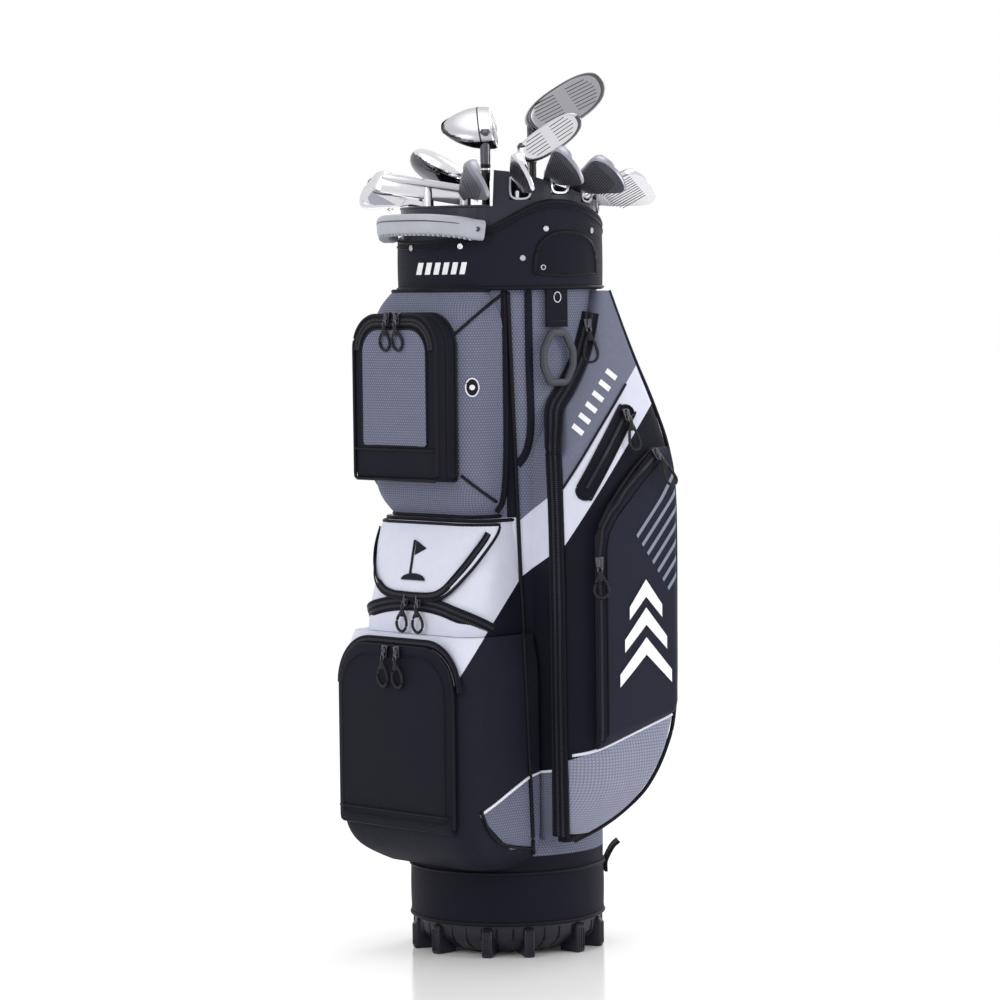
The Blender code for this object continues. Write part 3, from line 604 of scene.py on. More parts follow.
def carve(made, *tools):
    """Cuts solids, given as rows of points, out of a piece."""
    cutters = [linked("tool", grid_mesh("tool", rows)) for rows in tools]
    for cutter in cutters:
        change = made.modifiers.new("cut", "BOOLEAN")
        change.operation = "DIFFERENCE"
        change.solver = "EXACT"
        change.object = cutter
    graph = bpy.context.evaluated_depsgraph_get()
    old, made.data = made.data, bpy.data.meshes.new_from_object(made.evaluated_get(graph))
    made.modifiers.clear()
    for mesh in [old] + [cutter.data for cutter in cutters]:
        bpy.data.meshes.remove(mesh)
    made.data.set_sharp_from_angle(angle=math.radians(40))
    return made


def arch(half, low, high, radius, steps=9, foot=0.004):
    """An upright arch in X and Z, closed, from its lower right corner."""
    pts = arc((half - foot, low + foot), foot, -90, 0, 3)
    pts += arc((half - radius, high - radius), radius, 0, 90, steps)
    pts += arc((-half + radius, high - radius), radius, 90, 180, steps)
    return pts + arc((-half + foot, low + foot), foot, 180, 270, 3)


def prism(outline, near, far):
    return [[Vector((x, y, z)) for x, z in outline] for y in (near, far)]


def padded_panel(name, outline, profile, centre, finish, body, place, **more):
    """A padded panel. Its outline, in X and Z, shrinks in steps towards its centre; profile
    holds (share of the outline, distance out), and place(x, z, out) gives the point."""
    ring = even([Vector((a, b, 0)) for a, b in outline + outline[:1]], count=97)[:-1]
    middle = Vector((*centre, 0))
    rows = []
    for share, far in profile:
        spots = [middle + (p - middle) * share for p in ring]
        rows.append([place(q.x, q.y, far) for q in spots])
    mesh = grid_mesh(name, rows)
    flat_uv(mesh, X)
    return new_object(name, mesh, finish, body, **more)


def from_plane(near):
    """Places a panel's points out from the plane y = -near."""
    return lambda x, z, out: Vector((x, -near - out, z))


def crowned(thick, crown, edge=0.05):
    """A padded panel's profile: flat behind, a rounded edge and a soft crown in front."""
    rows = [(0.02, 0.0), (0.5, 0.0), (1.0 - edge * 0.4, 0.0), (1.0, thick * 0.25), (1.0, thick * 0.65)]
    rows += [(1.0 - edge * 0.35, thick * 0.9), (1.0 - edge, thick)]
    for i in range(1, 9):
        share = (1.0 - edge) * (1 - i / 8)
        rows.append((max(share, 0.02), thick + crown * (1 - share**2)))
    return rows


def offset_ring(outline, share, centre):
    return [(centre[0] + (a - centre[0]) * share, centre[1] + (b - centre[1]) * share) for a, b in outline]


# ---------------------------------------------------------------- laying things on the skins
FRONT, DOOR = (ACROSS, DEEP), (Y, -X)  # a view: the axis to its right, and the way it looks


def surface(objects):
    """A set of pieces as one surface to lay things on."""
    verts, faces = [], []
    for made in objects:
        start = len(verts)
        verts += [v.co.copy() for v in made.data.vertices]
        faces += [[start + i for i in p.vertices] for p in made.data.polygons]
    return BVHTree.FromPolygons(verts, faces)


def cast(tree, view, p):
    """Where the surface lies behind a point of a view, and its normal towards the viewer."""
    axis, way = view
    start = axis * p.x + UP * p.y - way * 0.6
    hit, normal, _, _ = tree.ray_cast(start, way)
    if hit is not None and normal.dot(way) > 0:
        normal = -normal
    return hit, normal


def laid(tree, points, lift=0.0, view=FRONT, step=0.004, mirror=False, rounds=2):
    """A path and its normals on the skins, from points of a view."""
    found, normals = [], []
    for p in even(curve_through([(u, z, 0) for u, z in points], 8), step=step):
        hit, normal = cast(tree, view, p)
        if hit is None:
            continue
        if mirror:
            hit.x, normal.x = -hit.x, -normal.x
        found.append(hit)
        normals.append(normal)
    for _ in range(rounds):
        last = len(normals) - 1
        normals = [(normals[max(i - 1, 0)] + n * 2 + normals[min(i + 1, last)]).normalized()
                   for i, n in enumerate(normals)]
    return [p + n * lift for p, n in zip(found, normals)], normals


def print_on(name, outline, tree, finish, body, lift, view=FRONT, slot="white_fabric"):
    """A flat printed shape laid over a surface, from an outline in a view."""
    bm = bmesh.new()
    pts = [Vector((u, z, 0)) for u, z in outline]
    face = bm.faces.new([bm.verts.new(p) for p in pts])
    bmesh.ops.triangulate(bm, faces=[face])
    step = 0.006
    for k, normal in ((0, X), (1, Y)):
        low, high = min(p[k] for p in pts), max(p[k] for p in pts)
        for i in range(1, int((high - low) / step) + 1):
            geom = bm.verts[:] + bm.edges[:] + bm.faces[:]
            bmesh.ops.bisect_plane(bm, geom=geom, plane_co=normal * (low + i * step), plane_no=normal)
    uv = bm.loops.layers.uv.new("UVMap")
    for vert in bm.verts:
        hit, normal = cast(tree, view, vert.co)
        if hit is not None:
            vert.co = hit + (normal if view is FRONT else X) * lift
    for f in bm.faces:
        for loop in f.loops:
            loop[uv].uv = (loop.vert.co.x + loop.vert.co.y, loop.vert.co.z)
    return new_object(name, mesh_from(bm, name), finish, body, slot=slot, smooth=180)


def nearest(path, node):
    """The index of the path's point nearest to the middle of a CAD node."""
    low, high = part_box(node)
    middle = (low + high) / 2
    return min(range(len(path)), key=lambda k: (path[k] - middle).length)


# ---------------------------------------------------------------- zips, pulls and rivets
def zip_on(name, path, normals, body="bag", width=0.018, tracks=2):
    """A zip: its tape, with `tracks` rows of small teeth."""
    band(name + "_tape", path, width, 0.0011, "tape", normals, body=body)
    bm = bmesh.new()
    spots = even(path, step=0.0022)
    share = (len(path) - 1) / max(len(spots) - 1, 1)
    for i, p in enumerate(spots[1:-1], 1):
        ahead = (spots[i + 1] - spots[i - 1]).normalized()
        out = normals[min(int(round(i * share)), len(normals) - 1)]
        out = (out - ahead * out.dot(ahead)).normalized()
        side = out.cross(ahead)
        turn = Matrix((side, ahead, out)).transposed().to_4x4()
        for t in range(tracks):
            turn.translation = p + side * ((t - (tracks - 1) / 2) * width * 0.36) + out * 0.0013
            tooth = turn @ Matrix.Diagonal((0.0030, 0.0011, 0.0010, 1))
            bmesh.ops.create_cube(bm, size=1.0, matrix=tooth)
    teeth = mesh_from(bm, name + "_teeth")
    return new_object(teeth.name, teeth, "teeth", body, smooth=None, slot="black_plastic")


def pull(name, at, out, hang, body="bag", length=0.030, node=None):
    """A zip slider with its tab and a moulded teardrop loop that hangs along `hang`."""
    at, out, hang = Vector(at), Vector(out).normalized(), Vector(hang)
    hang = (hang - out * out.dot(hang)).normalized()
    side = out.cross(hang).normalized()
    turn = Matrix((side, -hang, out)).transposed().to_4x4()

    def part(suffix, rows, finish, spot, **more):
        solid(f"{name}_{suffix}", rows, finish, body, place=Matrix.Translation(spot) @ turn, **more)

    half = [(0.0052, 0.0068), (0.0030, 0.0074), (-0.0030, 0.0074), (-0.0052, 0.0068)]
    outline = half + [(-0.0040, -0.006), (-0.0025, -0.0072), (0.0025, -0.0072), (0.0040, -0.006)]
    levels = ((0.0, 1), (0.0028, 1), (0.0038, 0.892))
    rows = [[Vector((x * grow, y * grow, z)) for x, y in outline[::-1]] for z, grow in levels]
    part("slider", rows, "slider_steel", at, node=node, slot="polished_steel", smooth=30)
    bridge = ((0.0055, 0.0034), (0.0045, 0.0056), (0, 0.0064), (-0.0045, 0.0056), (-0.0055, 0.0034))
    path = curve_through([at - hang * y + out * z for y, z in bridge], 3)
    pipe(f"{name}_bridge", path, 0.0011, "slider_steel", body, "polished_steel")
    start = at + out * 0.0062
    link = [start + hang * (0.007 - 0.005 * math.cos(a)) + side * 0.0027 * math.sin(a) for a in around(16)]
    pipe(f"{name}_link", link, 0.0009, "slider_steel", body, "polished_steel", closed=True)
    top = start + hang * 0.010
    loop = []
    for a in around(40):
        down = (1 - math.cos(a)) / 2
        wide = 0.0115 * math.sin(a) * (0.18 + 0.82 * down**0.8)
        sway = 0.0006 * math.sin(3 * a) - 0.0025 * down
        loop.append(top + hang * (0.002 + (length - 0.002) * down) + side * wide + out * sway)
    pipe(f"{name}_loop", loop, 0.0017, "cord", body, "webbing", closed=True)
    levels = ((0.0, 0.7), (-0.0010, 1.0), (-0.0100, 1.0), (-0.0115, 0.8))
    rows = []
    for y, k in levels:
        rows.append([Vector((0.0030 * math.cos(a) * k, y, 0.0024 * math.sin(a) * k)) for a in around(12)])
    part("sleeve", rows, "cord", top - hang * 0.001, slot="webbing", smooth=60)


def pull_pair(name, spot, gap, leans, body, length, node=None, out=(0, -1, 0)):
    """Two pulls side by side on the middle of a zip; the right one stands for the CAD slider."""
    for suffix, side, lean in (("right", gap[0], leans[0]), ("left", -gap[1], -leans[1])):
        replaced = node if suffix == "right" else None
        pull(f"{name}_{suffix}", Vector(spot) + X * side, out, (lean, 0, -1), body, length, replaced)


def rivet(name, at, out, radius=0.0034, finish="satin"):
    out = Vector(out).normalized()
    turn = out.to_track_quat("Z", "Y").to_matrix().to_4x4()
    profile = ((1.0, -0.0004), (1.0, 0.0006), (0.86, 0.0012), (0.60, 0.0012), (0.52, 0.0007), (0.30, 0.0007),
               (0.02, 0.0010))
    rows = turned([(radius * share, z) for share, z in profile], 20)
    place = Matrix.Translation(Vector(at)) @ turn
    solid(name, rows, finish, "bag", place=place, slot="polished_steel", smooth=30)


# ---------------------------------------------------------------- tube, base and cuff
SKINS = []
# levels of the front pockets: height, half width, depth to the front, corner radius
BALL_LEVELS = [(0.108, 0.090, 0.126, 0.030), (0.124, 0.108, 0.157, 0.028), (0.150, 0.115, 0.1710, 0.026),
               (0.345, 0.115, 0.1710, 0.026), (0.384, 0.106, 0.161, 0.026)]
COOLER_LEVELS = [(0.3845, 0.100, 0.148, 0.034), (0.420, 0.098, 0.144, 0.034), (0.470, 0.094, 0.132, 0.034),
                 (0.520, 0.090, 0.122, 0.034)]
UPPER_LEVELS = [(0.5205, 0.080, 0.116, 0.028), (0.540, 0.088, 0.132, 0.028), (0.566, 0.091, 0.1400, 0.028),
                (0.754, 0.087, 0.1400, 0.028), (0.774, 0.080, 0.133, 0.028), (0.789, 0.073, 0.119, 0.028)]
# levels of the clothing pocket: height, reach along X, front and rear in Y
SIDE_LEVELS = [
    (0.140, 0.1500, -0.046, -0.030), (0.155, 0.1650, -0.048, 0.005), (0.175, 0.1760, -0.050, 0.040),
    (0.200, 0.1860, -0.050, 0.068), (0.240, 0.1915, -0.050, 0.092), (0.290, 0.1930, -0.050, 0.107),
    (0.400, 0.1930, -0.050, 0.110), (0.540, 0.1930, -0.050, 0.110), (0.600, 0.1820, -0.050, 0.110),
    (0.650, 0.1650, -0.018, 0.104), (0.700, 0.1455, 0.016, 0.090), (0.740, 0.1330, 0.034, 0.078),
    (0.785, 0.1200, 0.048, 0.066)]
# levels of its door: height at the front and the rear edge, and the two edges in Y
DOOR_LEVELS = [(0.252, 0.286, -0.036, 0.092), (0.300, 0.300, -0.036, 0.096), (0.500, 0.500, -0.036, 0.096),
               (0.538, 0.538, -0.014, 0.096), (0.570, 0.570, 0.028, 0.095), (0.600, 0.600, 0.066, 0.093)]


def skin(name, rows, finish, node, slot="black_fabric", **more):
    made = solid(name, rows, finish, "bag", node=node, slot=slot, **more)
    SKINS.append(made)
    return made


def hoop(radius, z, count=120):
    """A level ring round the bag; z is a height, or gives it at an angle."""
    return [radial(a) * radius + UP * (z(a) if callable(z) else z) for a in around(count)]


def tube():
    low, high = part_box("body_tube")
    heights = [low.z + (high.z - low.z) * i / 110 for i in range(111)]
    rows = rumple(turned([(TUBE_R - 0.0004, z) for z in heights], 120), 0.0012, 13, 3.0)
    inner = turned([(TUBE_R - 0.0035, z) for z in heights[::-1]], 120)
    skin("tube_cloth", rows + inner + rows[:1], "tube", "body_tube", "grey_fabric", caps=False)


def base():
    low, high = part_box("base_band")
    profile = [(0.1129, low.z), (TUBE_R - 0.001, low.z), (TUBE_R + 0.0004, low.z + 0.008)]
    for i in range(10):
        z = low.z + 0.010 + (high.z - low.z - 0.012) * i / 9
        profile.append((TUBE_R + 0.0006 * math.sin(i / 9 * math.pi), z))
    skin("base_band_cloth", turned(profile + [(0.1135, high.z)], 120), "black", "base_band", caps=False)
    pipe("base_band_top_piping", hoop(TUBE_R + 0.0006, high.z), 0.0019, closed=True)
    pipe("base_band_low_piping", hoop(TUBE_R, low.z + 0.003), 0.0019, closed=True)
    bowl = [(0.0005, 0.0042), (0.086, 0.0042), (0.090, 0.0052), (0.0965, 0.0095), (0.107, 0.0165),
            (0.1115, 0.024), (0.1125, 0.031), (0.1125, 0.060), (0.1085, 0.097), (0.1080, 0.060),
            (0.104, 0.026), (0.090, 0.010), (0.0005, 0.010)]
    solid("base_bowl", turned(bowl, 96), "feet", "bag", caps=False, node="base_shell", slot="black_plastic",
          smooth=50)
    rib = ((0.089, 0.0062), (0.0965, 0.0098), (0.1065, 0.0165), (0.1112, 0.0235), (0.1122, 0.034))
    section = [(-0.0016, -0.001), (-0.001, 0.0013), (0.001, 0.0013), (0.0016, -0.001)]
    for i, a in enumerate(around(36)):
        path = curve_through([radial(a) * r + UP * z for r, z in rib], 3)
        sweep(f"base_rib_{i + 1}", path, section, "feet", slot="black_plastic")
    for i in range(12):
        side = math.radians(12.5 if i % 2 else -12.5)
        foot(i + 1, TURN - math.pi / 2 + i // 2 * math.pi / 3 + side)


def foot(number, angle):
    """One of the twelve ribbed feet in pairs round the base."""
    out, along = radial(angle), tangent(angle)
    levels = ((0.0, -0.0016), (0.0008, -0.0004), (0.0022, 0.0), (0.030, 0.0), (0.0345, -0.001),
              (0.0358, -0.003))
    rows = []
    for z, grow in levels:
        x0, x1, h = 0.089 - grow, 0.1185 + grow - (0.003 if z > 0.03 else 0.0), 0.0065 + grow
        plan = rounded_box((x0, x1), (-h, h), 0.0025)
        rows.append([out * x + along * y + UP * z for x, y in plan])
    solid(f"foot_{number}", rows, "feet", "bag", slot="black_plastic")
    for k in (-1, 0, 1):
        path = [out * 0.1186 + along * (0.0036 * k) + UP * z for z in (0.004, 0.012, 0.020, 0.029)]
        pipe(f"foot_{number}_rib_{k + 2}", path, 0.0008, "feet", slot="black_plastic")


def rounded_box(xs, ys, radius, count=4):
    """A rectangle with rounded corners, from its upper right corner."""
    pts = []
    for k, (i, j) in enumerate(((1, 1), (0, 1), (0, 0), (1, 0))):
        centre = (xs[i] + (-radius if i else radius), ys[j] + (-radius if j else radius))
        pts += arc(centre, radius, 90 * k, 90 * k + 90, count)
    return pts


def cuff_top(angle):
    """The height of the cuff's waved edge: a hump over the raised step, and a low one behind."""
    away = (math.degrees(angle - TURN) + 58 + 180) % 360 - 180
    hump = math.exp(-((away / (62 if away > 0 else 36)) ** 2))
    rear = math.exp(-(((abs(away) - 180) / 50) ** 2))
    return 0.844 + 0.047 * hump + 0.016 * rear


def cuff():
    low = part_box("top_cuff")[0].z - 0.0035  # laps over the tube's top edge
    shares = [(0.1188, 0.0), (0.1218, 0.004)] + [(0.1222, 0.004 + 0.94 * i / 10) for i in range(1, 11)]
    shares += [(0.1212, 0.985), (0.1198, 1.0), (0.1188, 0.985), (0.1186, 0.6), (0.1186, 0.2)]
    rows = []
    for r, share in shares:
        swell = 0.0006 * math.sin(math.pi * share) if r > 0.121 else 0
        rows.append(hoop(r + swell, lambda a: low + (cuff_top(a) - low) * share, 160))
    skin("cuff_cloth", rows + rows[:1], "mesh", "top_cuff", caps=False)
    pipe("cuff_top_piping", hoop(0.1206, lambda a: cuff_top(a) - 0.001, 160), 0.0028, closed=True)
    pipe("cuff_second_piping", hoop(0.1226, lambda a: cuff_top(a) - 0.0085, 160), 0.0010, closed=True)
    pipe("cuff_low_piping", hoop(0.1225, low + 0.003, 160), 0.0019, closed=True)


# ---------------------------------------------------------------- pockets
BALL_CENTRE, POUCH_CENTRE, FLAP_CENTRE = (0, 0.262), (0, 0.66), (0, 0.474)


def hollow(levels, radius):
    """The inside of a front pocket, from two levels of height, half width and depth."""
    return [front_row(*level, radius, count=40) for level in levels]


def ball_pocket():
    body = skin("ball_pocket_cloth", front_skin(BALL_LEVELS, 0.0012), "panels", "ball_pocket")
    carve(body, hollow(((0.150, 0.109, 0.166), (0.372, 0.103, 0.159)), 0.022),
          prism(arch(0.090, 0.168, 0.360, 0.040), -0.125, -0.2))
    low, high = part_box("ball_pocket_flap")
    outline, profile = arch(high.x, low.z, high.z, 0.050, 13), crowned(high.y - low.y - 0.0006, 0.0035)
    padded_panel("ball_flap_cloth", outline, profile, BALL_CENTRE, "flap", "ball_flap", from_plane(-high.y),
                 node="ball_pocket_flap", slot="black_fabric")


def cooler_pocket():
    body = skin("cooler_cloth", front_skin(COOLER_LEVELS, 0.0008, smoothing=2), "cooler", "cooler_pocket",
                "white_fabric")
    carve(body, prism([(0.052, 0.436), (0.052, 0.482), (-0.052, 0.482), (-0.052, 0.436)], -0.121, -0.2))
    padded_panel("valuables_cloth", flap_outline(), crowned(0.0046, 0.0030), FLAP_CENTRE, "white",
                 "valuables", lambda s, z, out: cooler_at(s, z, out + 0.0016), node="valuables_flap",
                 slot="white_fabric")


def cooler_at(s, z, lift):
    """A point on the insulated pocket, `s` round it from the middle of its front."""
    _, half, front, radius = lerp_levels(COOLER_LEVELS, z)
    half, front, radius = half + lift, front + lift, radius + lift
    flat_half, quarter, sign = half - radius, radius * math.pi / 2, math.copysign(1, s)
    s = abs(s)
    if s <= flat_half:
        return Vector((sign * s, -front, z))
    if s <= flat_half + quarter:
        a = (s - flat_half) / radius
        return Vector((sign * (flat_half + radius * math.sin(a)), -front + radius * (1 - math.cos(a)), z))
    return Vector((sign * half, -front + radius + s - flat_half - quarter, z))


def flap_outline(share=1.0):
    """The valuables flap, laid flat: wide at the top and tucked in below."""
    half = [(0.0, 0.4245), (0.0340, 0.4255), (0.0530, 0.4300), (0.0690, 0.4410), (0.0850, 0.4600),
            (0.0990, 0.4820), (0.1110, 0.5030), (0.1130, 0.5135)]
    other = [(-a, b) for a, b in half[::-1][:-1]]
    return offset_ring(flat_curve(half, 5) + flat_curve(other, 5), share, FLAP_CENTRE)


def upper_pocket():
    rows = front_skin(UPPER_LEVELS, 0.0008)
    body = skin("upper_pocket_cloth", rows, "upper", "upper_pocket", "grey_fabric")
    carve(body, hollow(((0.573, 0.084, 0.135), (0.738, 0.082, 0.135)), 0.024),
          prism(arch(0.063, 0.576, 0.742, 0.030), -0.122, -0.2))
    low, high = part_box("pouch_flap")
    deep = high.y - low.y
    # an open-backed box: its floor, its rim behind, its side and its soft front
    profile = [(share, deep - 0.006) for share in (0.02, 0.5, 0.88)]
    profile += [(0.93, deep - 0.010), (0.935, 0.0), (1.0, 0.0)] + [(1.004, 0.005 * k) for k in range(1, 6)]
    profile += [(0.995, deep - 0.0025), (0.975, deep - 0.0008), (0.95, deep)]
    for i in range(1, 9):
        share = 1 - i / 8
        profile.append((0.95 * share + 0.02, deep + 0.003 * (1 - share**2)))
    outline = arch(high.x, low.z, high.z, 0.040, 13)
    padded_panel("pouch_cloth", outline, profile, POUCH_CENTRE, "pouch", "pouch", from_plane(-high.y),
                 node="pouch_flap", slot="grey_fabric")


def side_reach(z):
    return lerp_levels(SIDE_LEVELS, z)[1]


def side_scale(front, rear):
    """How much of its full depth the clothing pocket has, for its corners."""
    return min(1.0, (rear - front) / 0.12)


def side_row(z, reach, front, rear):
    k = side_scale(front, rear)
    pts = [(0.060, front), (reach - 0.060 * k, front), (reach - 0.038 * k, front),
           (reach - 0.017 * k, front + 0.010 * k), (reach - 0.004 * k, front + 0.030 * k),
           (reach, front + 0.045 * k), (reach, rear - 0.022 * k), (reach - 0.006 * k, rear - 0.006 * k),
           (reach - 0.020 * k, rear), (0.060, rear)]
    return even(chaikin([Vector((x, y, z)) for x, y in pts]), count=120)


def block(xs, ys, zs):
    plan = ((xs[1], ys[0]), (xs[1], ys[1]), (xs[0], ys[1]), (xs[0], ys[0]))
    return [[Vector((x, y, z)) for x, y in plan] for z in zs]


def side_pocket():
    low, high = SIDE_LEVELS[0][0], SIDE_LEVELS[-1][0]
    heights = [low + (high - low) * i / 128 for i in range(129)]
    rows = [side_row(z, *lerp_levels(SIDE_LEVELS, z)[1:]) for z in heights]
    rows = smooth_rows(rumple(rows, 0.0014, 14, 9.0), 8)
    body = skin("side_pocket_cloth", rows, "side", "right_side_pocket")
    carve(body, block((0.100, 0.1835), (-0.012, 0.092), (0.250, 0.520)),
          block((0.16, 0.22), (-0.008, 0.086), (0.305, 0.495)))


def side_door():
    """A padded panel on the clothing pocket's outer face."""
    rows = []
    for i in range(61):
        k = i / 60 * 5
        first = min(int(k), 4)
        pairs = zip(DOOR_LEVELS[first], DOOR_LEVELS[first + 1])
        z_front, z_rear, front, rear = [p + (q - p) * (k - first) for p, q in pairs]
        near = side_reach((z_front + z_rear) / 2) + 0.001
        end = rounded_edge(i / 60, 14, 0.12)
        face, back = [], []
        for j in range(45):
            s = j / 44
            y, z = front + (rear - front) * s, z_front + (z_rear - z_front) * s
            swell = 0.0022 * bulge(s, 2) * bulge(i / 60, 4)
            face.append(Vector((near + 0.0092 * rounded_edge(s, 12, 0.05) * end + swell, y, z)))
            back.append(Vector((near, y, z)))
        rows.append(face + back[::-1])
    mesh = grid_mesh("side_door", rows)
    flat_uv(mesh, Y)
    # the door's finish is black made lighter: painted light on its lit side
    return new_object("side_door_cloth", mesh, "door", "door", "side_door", "black_fabric", smooth=50)


def left_pocket_at(share, rise, lift=0.0):
    """A point on the left pocket: `share` from front to back and `rise` from foot to top."""
    low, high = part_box("left_side_pocket")
    swell = rounded_edge(share, 7, 0.02) * rounded_edge(rise, 9, 0.03)
    x = 0.100 + (-low.x - 0.101) * swell + lift
    return Vector((-x, low.y + (high.y - low.y) * share, low.z + (high.z - low.z) * rise))


def left_pocket():
    rows = [[left_pocket_at(j / 40, i / 40) for j in range(41)] for i in range(41)]
    skin("left_pocket_cloth", rumple(rows, 0.0012, 18, 5.0), "black", "left_side_pocket",
         closed=False, caps=False, smooth=60)


def left_trims():
    corners = [(0.14, 0.11), (0.86, 0.11), (0.86, 0.89), (0.14, 0.89)]
    ring = []
    for (a, b), (c, d) in zip(corners, corners[1:] + corners[:1]):
        ring += [left_pocket_at(a + (c - a) * k / 20, b + (d - b) * k / 20, 0.0014) for k in range(1, 20)]
    pipe("left_pocket_piping", ring, 0.0019, closed=True)
    path = even([left_pocket_at(0.27, 0.16 + 0.68 * k / 20, 0.0016) for k in range(21)], step=0.004)
    zip_on("left_zip", path, [-X] * len(path), width=0.012, tracks=1)
    pull("left_pull", path[-3] - X * 0.0012, -X, (0, 0.08, -1))


# ---------------------------------------------------------------- seams, zips and prints on the bag
def bag_trims(tree):
    """The seams beside the front pockets, on both sides."""
    upright = (0.784, 0.700, 0.640, 0.600, 0.500, 0.385, 0.300, 0.210, 0.125)
    seam = [(SEAM_START + SEAM_SLOPE * z, z) for z in upright]
    white_line = [(-0.0285, 0.181), (-0.012, 0.191), (0.004, 0.202), (0.0268, 0.217)]
    wedge = [(-0.0295, 0.184), (-0.024, 0.166), (-0.016, 0.152), (-0.002, 0.140), (0.0298, 0.131)]
    rear = [(0.0045, 0.786), (0.0045, 0.700), (0.0040, 0.600), (0.0000, 0.545), (-0.008, 0.528)]
    slant_top = [(0.0020, 0.782), (-0.0200, 0.7650), (-0.0600, 0.7310)]
    slant_low = [(-0.0480, 0.5720), (-0.0250, 0.5535), (-0.0080, 0.5400)]
    hook = [(0.0320, 0.787), (0.0325, 0.700), (0.0335, 0.630), (0.0280, 0.598), (0.0175, 0.582)]
    for suffix, mirror in (("", False), ("_far", True)):

        def seam_pipe(name, points, lift, radius, *looks):
            pipe(name + suffix, laid(tree, points, lift, mirror=mirror)[0], radius, *looks)

        seam_pipe("seam_piping", seam, 0.0012, 0.0024)
        seam_pipe("white_piping_front", white_line, 0.0010, 0.0017, "white_piping", "bag", "white_fabric")
        seam_pipe("wedge_piping", wedge, 0.0010, 0.0019)
        path, normals = laid(tree, rear, 0.0008, mirror=mirror)
        band("upper_rear_band" + suffix, path, 0.0085, 0.0012, "black", normals)
        pipe("upper_rear_piping" + suffix, [p + n * 0.0012 for p, n in zip(path, normals)], 0.0013)
        seam_pipe("upper_slant_top", slant_top, 0.0008, 0.0019)
        seam_pipe("upper_slant_low", slant_low, 0.0008, 0.0019)
        if not mirror:
            path, normals = laid(tree, hook, 0.0006)
            band("hook_band", path, 0.0090, 0.0012, "black", normals)
    path, _ = laid(tree, [(0.0280, 0.2175), (0.040, 0.2205), (0.057, 0.2240)], 0.0010)
    pipe("white_piping_gusset", path, 0.0016, "white_piping", slot="white_fabric")


def edge_piping(name, levels, z):
    """Piping round a front pocket at a height."""
    _, half, front, radius = lerp_levels(levels, z)
    pipe(name, front_row(z, half + 0.0006, front + 0.0006, radius)[1:-1], 0.0022)


def ball_trims():
    low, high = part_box("ball_pocket_flap")
    near = -high.y
    ring = arch(high.x + 0.0045, low.z - 0.004, high.z + 0.0045, 0.0545, 13)
    path = even_xz(ring[3:-3], high.y + 0.0006)
    zip_on("ball_zip", path, [-Y] * len(path), width=0.010, tracks=1)
    rim = arch(high.x - 0.0005, low.z + 0.0005, high.z - 0.0005, 0.050, 13)
    pipe("ball_flap_piping", even_xz(rim, -near - 0.0050), 0.0018, body="ball_flap", closed=True)
    stitch = offset_ring(arch(high.x, low.z, high.z, 0.050, 13), 0.90, BALL_CENTRE)
    stitch = even_xz(stitch, -near - 0.0098)
    pipe("ball_flap_stitch", stitch, 0.0005, "webbing", "ball_flap", "webbing", closed=True)
    xs = [-0.0965 + 0.193 * i / 24 for i in range(25)]
    seam = [Vector((x, -near - 0.0100 - 0.0006 * (1 - (x / 0.1) ** 2), low.z + 0.019)) for x in xs]
    pipe("ball_flap_seam", seam, 0.0012, body="ball_flap")
    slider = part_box("ball_zip_slider")
    spot = (0, -near - 0.0090, (slider[0].z + slider[1].z) / 2 + 0.003)
    pull_pair("ball_pull", spot, (0.0105, 0.0105), (0.10, 0.06), "ball_slider", 0.031, "ball_zip_slider")
    rivet("ball_rivet", (0.070, -0.1300, 0.118), (0.3, -1, -0.5), 0.003)


def cooler_trims():
    bow = [(0.005 * i, 0.4200 - 0.0290 * (abs(i) / 24) ** 2.2) for i in range(-24, 25)]
    path = [cooler_at(a, b, 0.0010) for a, b in bow]
    normals = [(cooler_at(a, b, 0.01) - p).normalized() for (a, b), p in zip(bow, path)]
    zip_on("cooler_zip", path, normals)
    spot, out = (0, -0.1465, 0.424), (0, -1, 0.1)
    pull_pair("cooler_pull", spot, (0.012, 0.010), (0.12, 0.10), "bag", 0.028, out=out)
    edge_piping("cooler_top_piping", COOLER_LEVELS, 0.518)
    ring = even([Vector((a, b, 0)) for a, b in flap_outline() + flap_outline()[:1]], step=0.004)[:-1]
    rim = [cooler_at(p.x, p.y, 0.0046) for p in ring]
    pipe("valuables_piping", rim, 0.0021, body="valuables", closed=True)
    track = [(a, b) for a, b in flap_outline(0.90) if b < 0.505]
    right, left = [p for p in track if p[0] >= 0], [p for p in track if p[0] < 0]
    path = even([Vector((a, b, 0)) for a, b in right[::-1] + left[::-1]], step=0.004)
    path = [cooler_at(p.x, p.y, 0.0078) for p in path]
    normals = [Vector((p.x, p.y + 0.100, 0) if abs(p.x) > 0.062 else (0.3 * p.x, p.y, 0)).normalized()
               for p in path]
    zip_on("valuables_zip", path, normals, "valuables", width=0.0085, tracks=1)
    # a plain printed mark: a flag on its stick over a mound
    turns = [math.radians(d) for d in range(180, -1, -20)]
    mound = [(0.021 * math.cos(a), 0.4475 + 0.008 * math.sin(a)) for a in turns]
    mark = [[(-0.008, 0.452), (-0.0045, 0.452), (-0.0045, 0.494), (-0.008, 0.494)],
            [(-0.003, 0.4935), (0.016, 0.485), (-0.003, 0.4765)],
            [(-0.022, 0.4475)] + mound + [(0.022, 0.4475)]]
    for i, shape in enumerate(mark):
        rows = [[Vector((x, cooler_at(x, z, 0.0093).y - t, z)) for x, z in shape] for t in (0.0, 0.0007)]
        solid(f"valuables_mark_{i + 1}", rows, "piping", "valuables", slot="black_fabric", smooth=30)


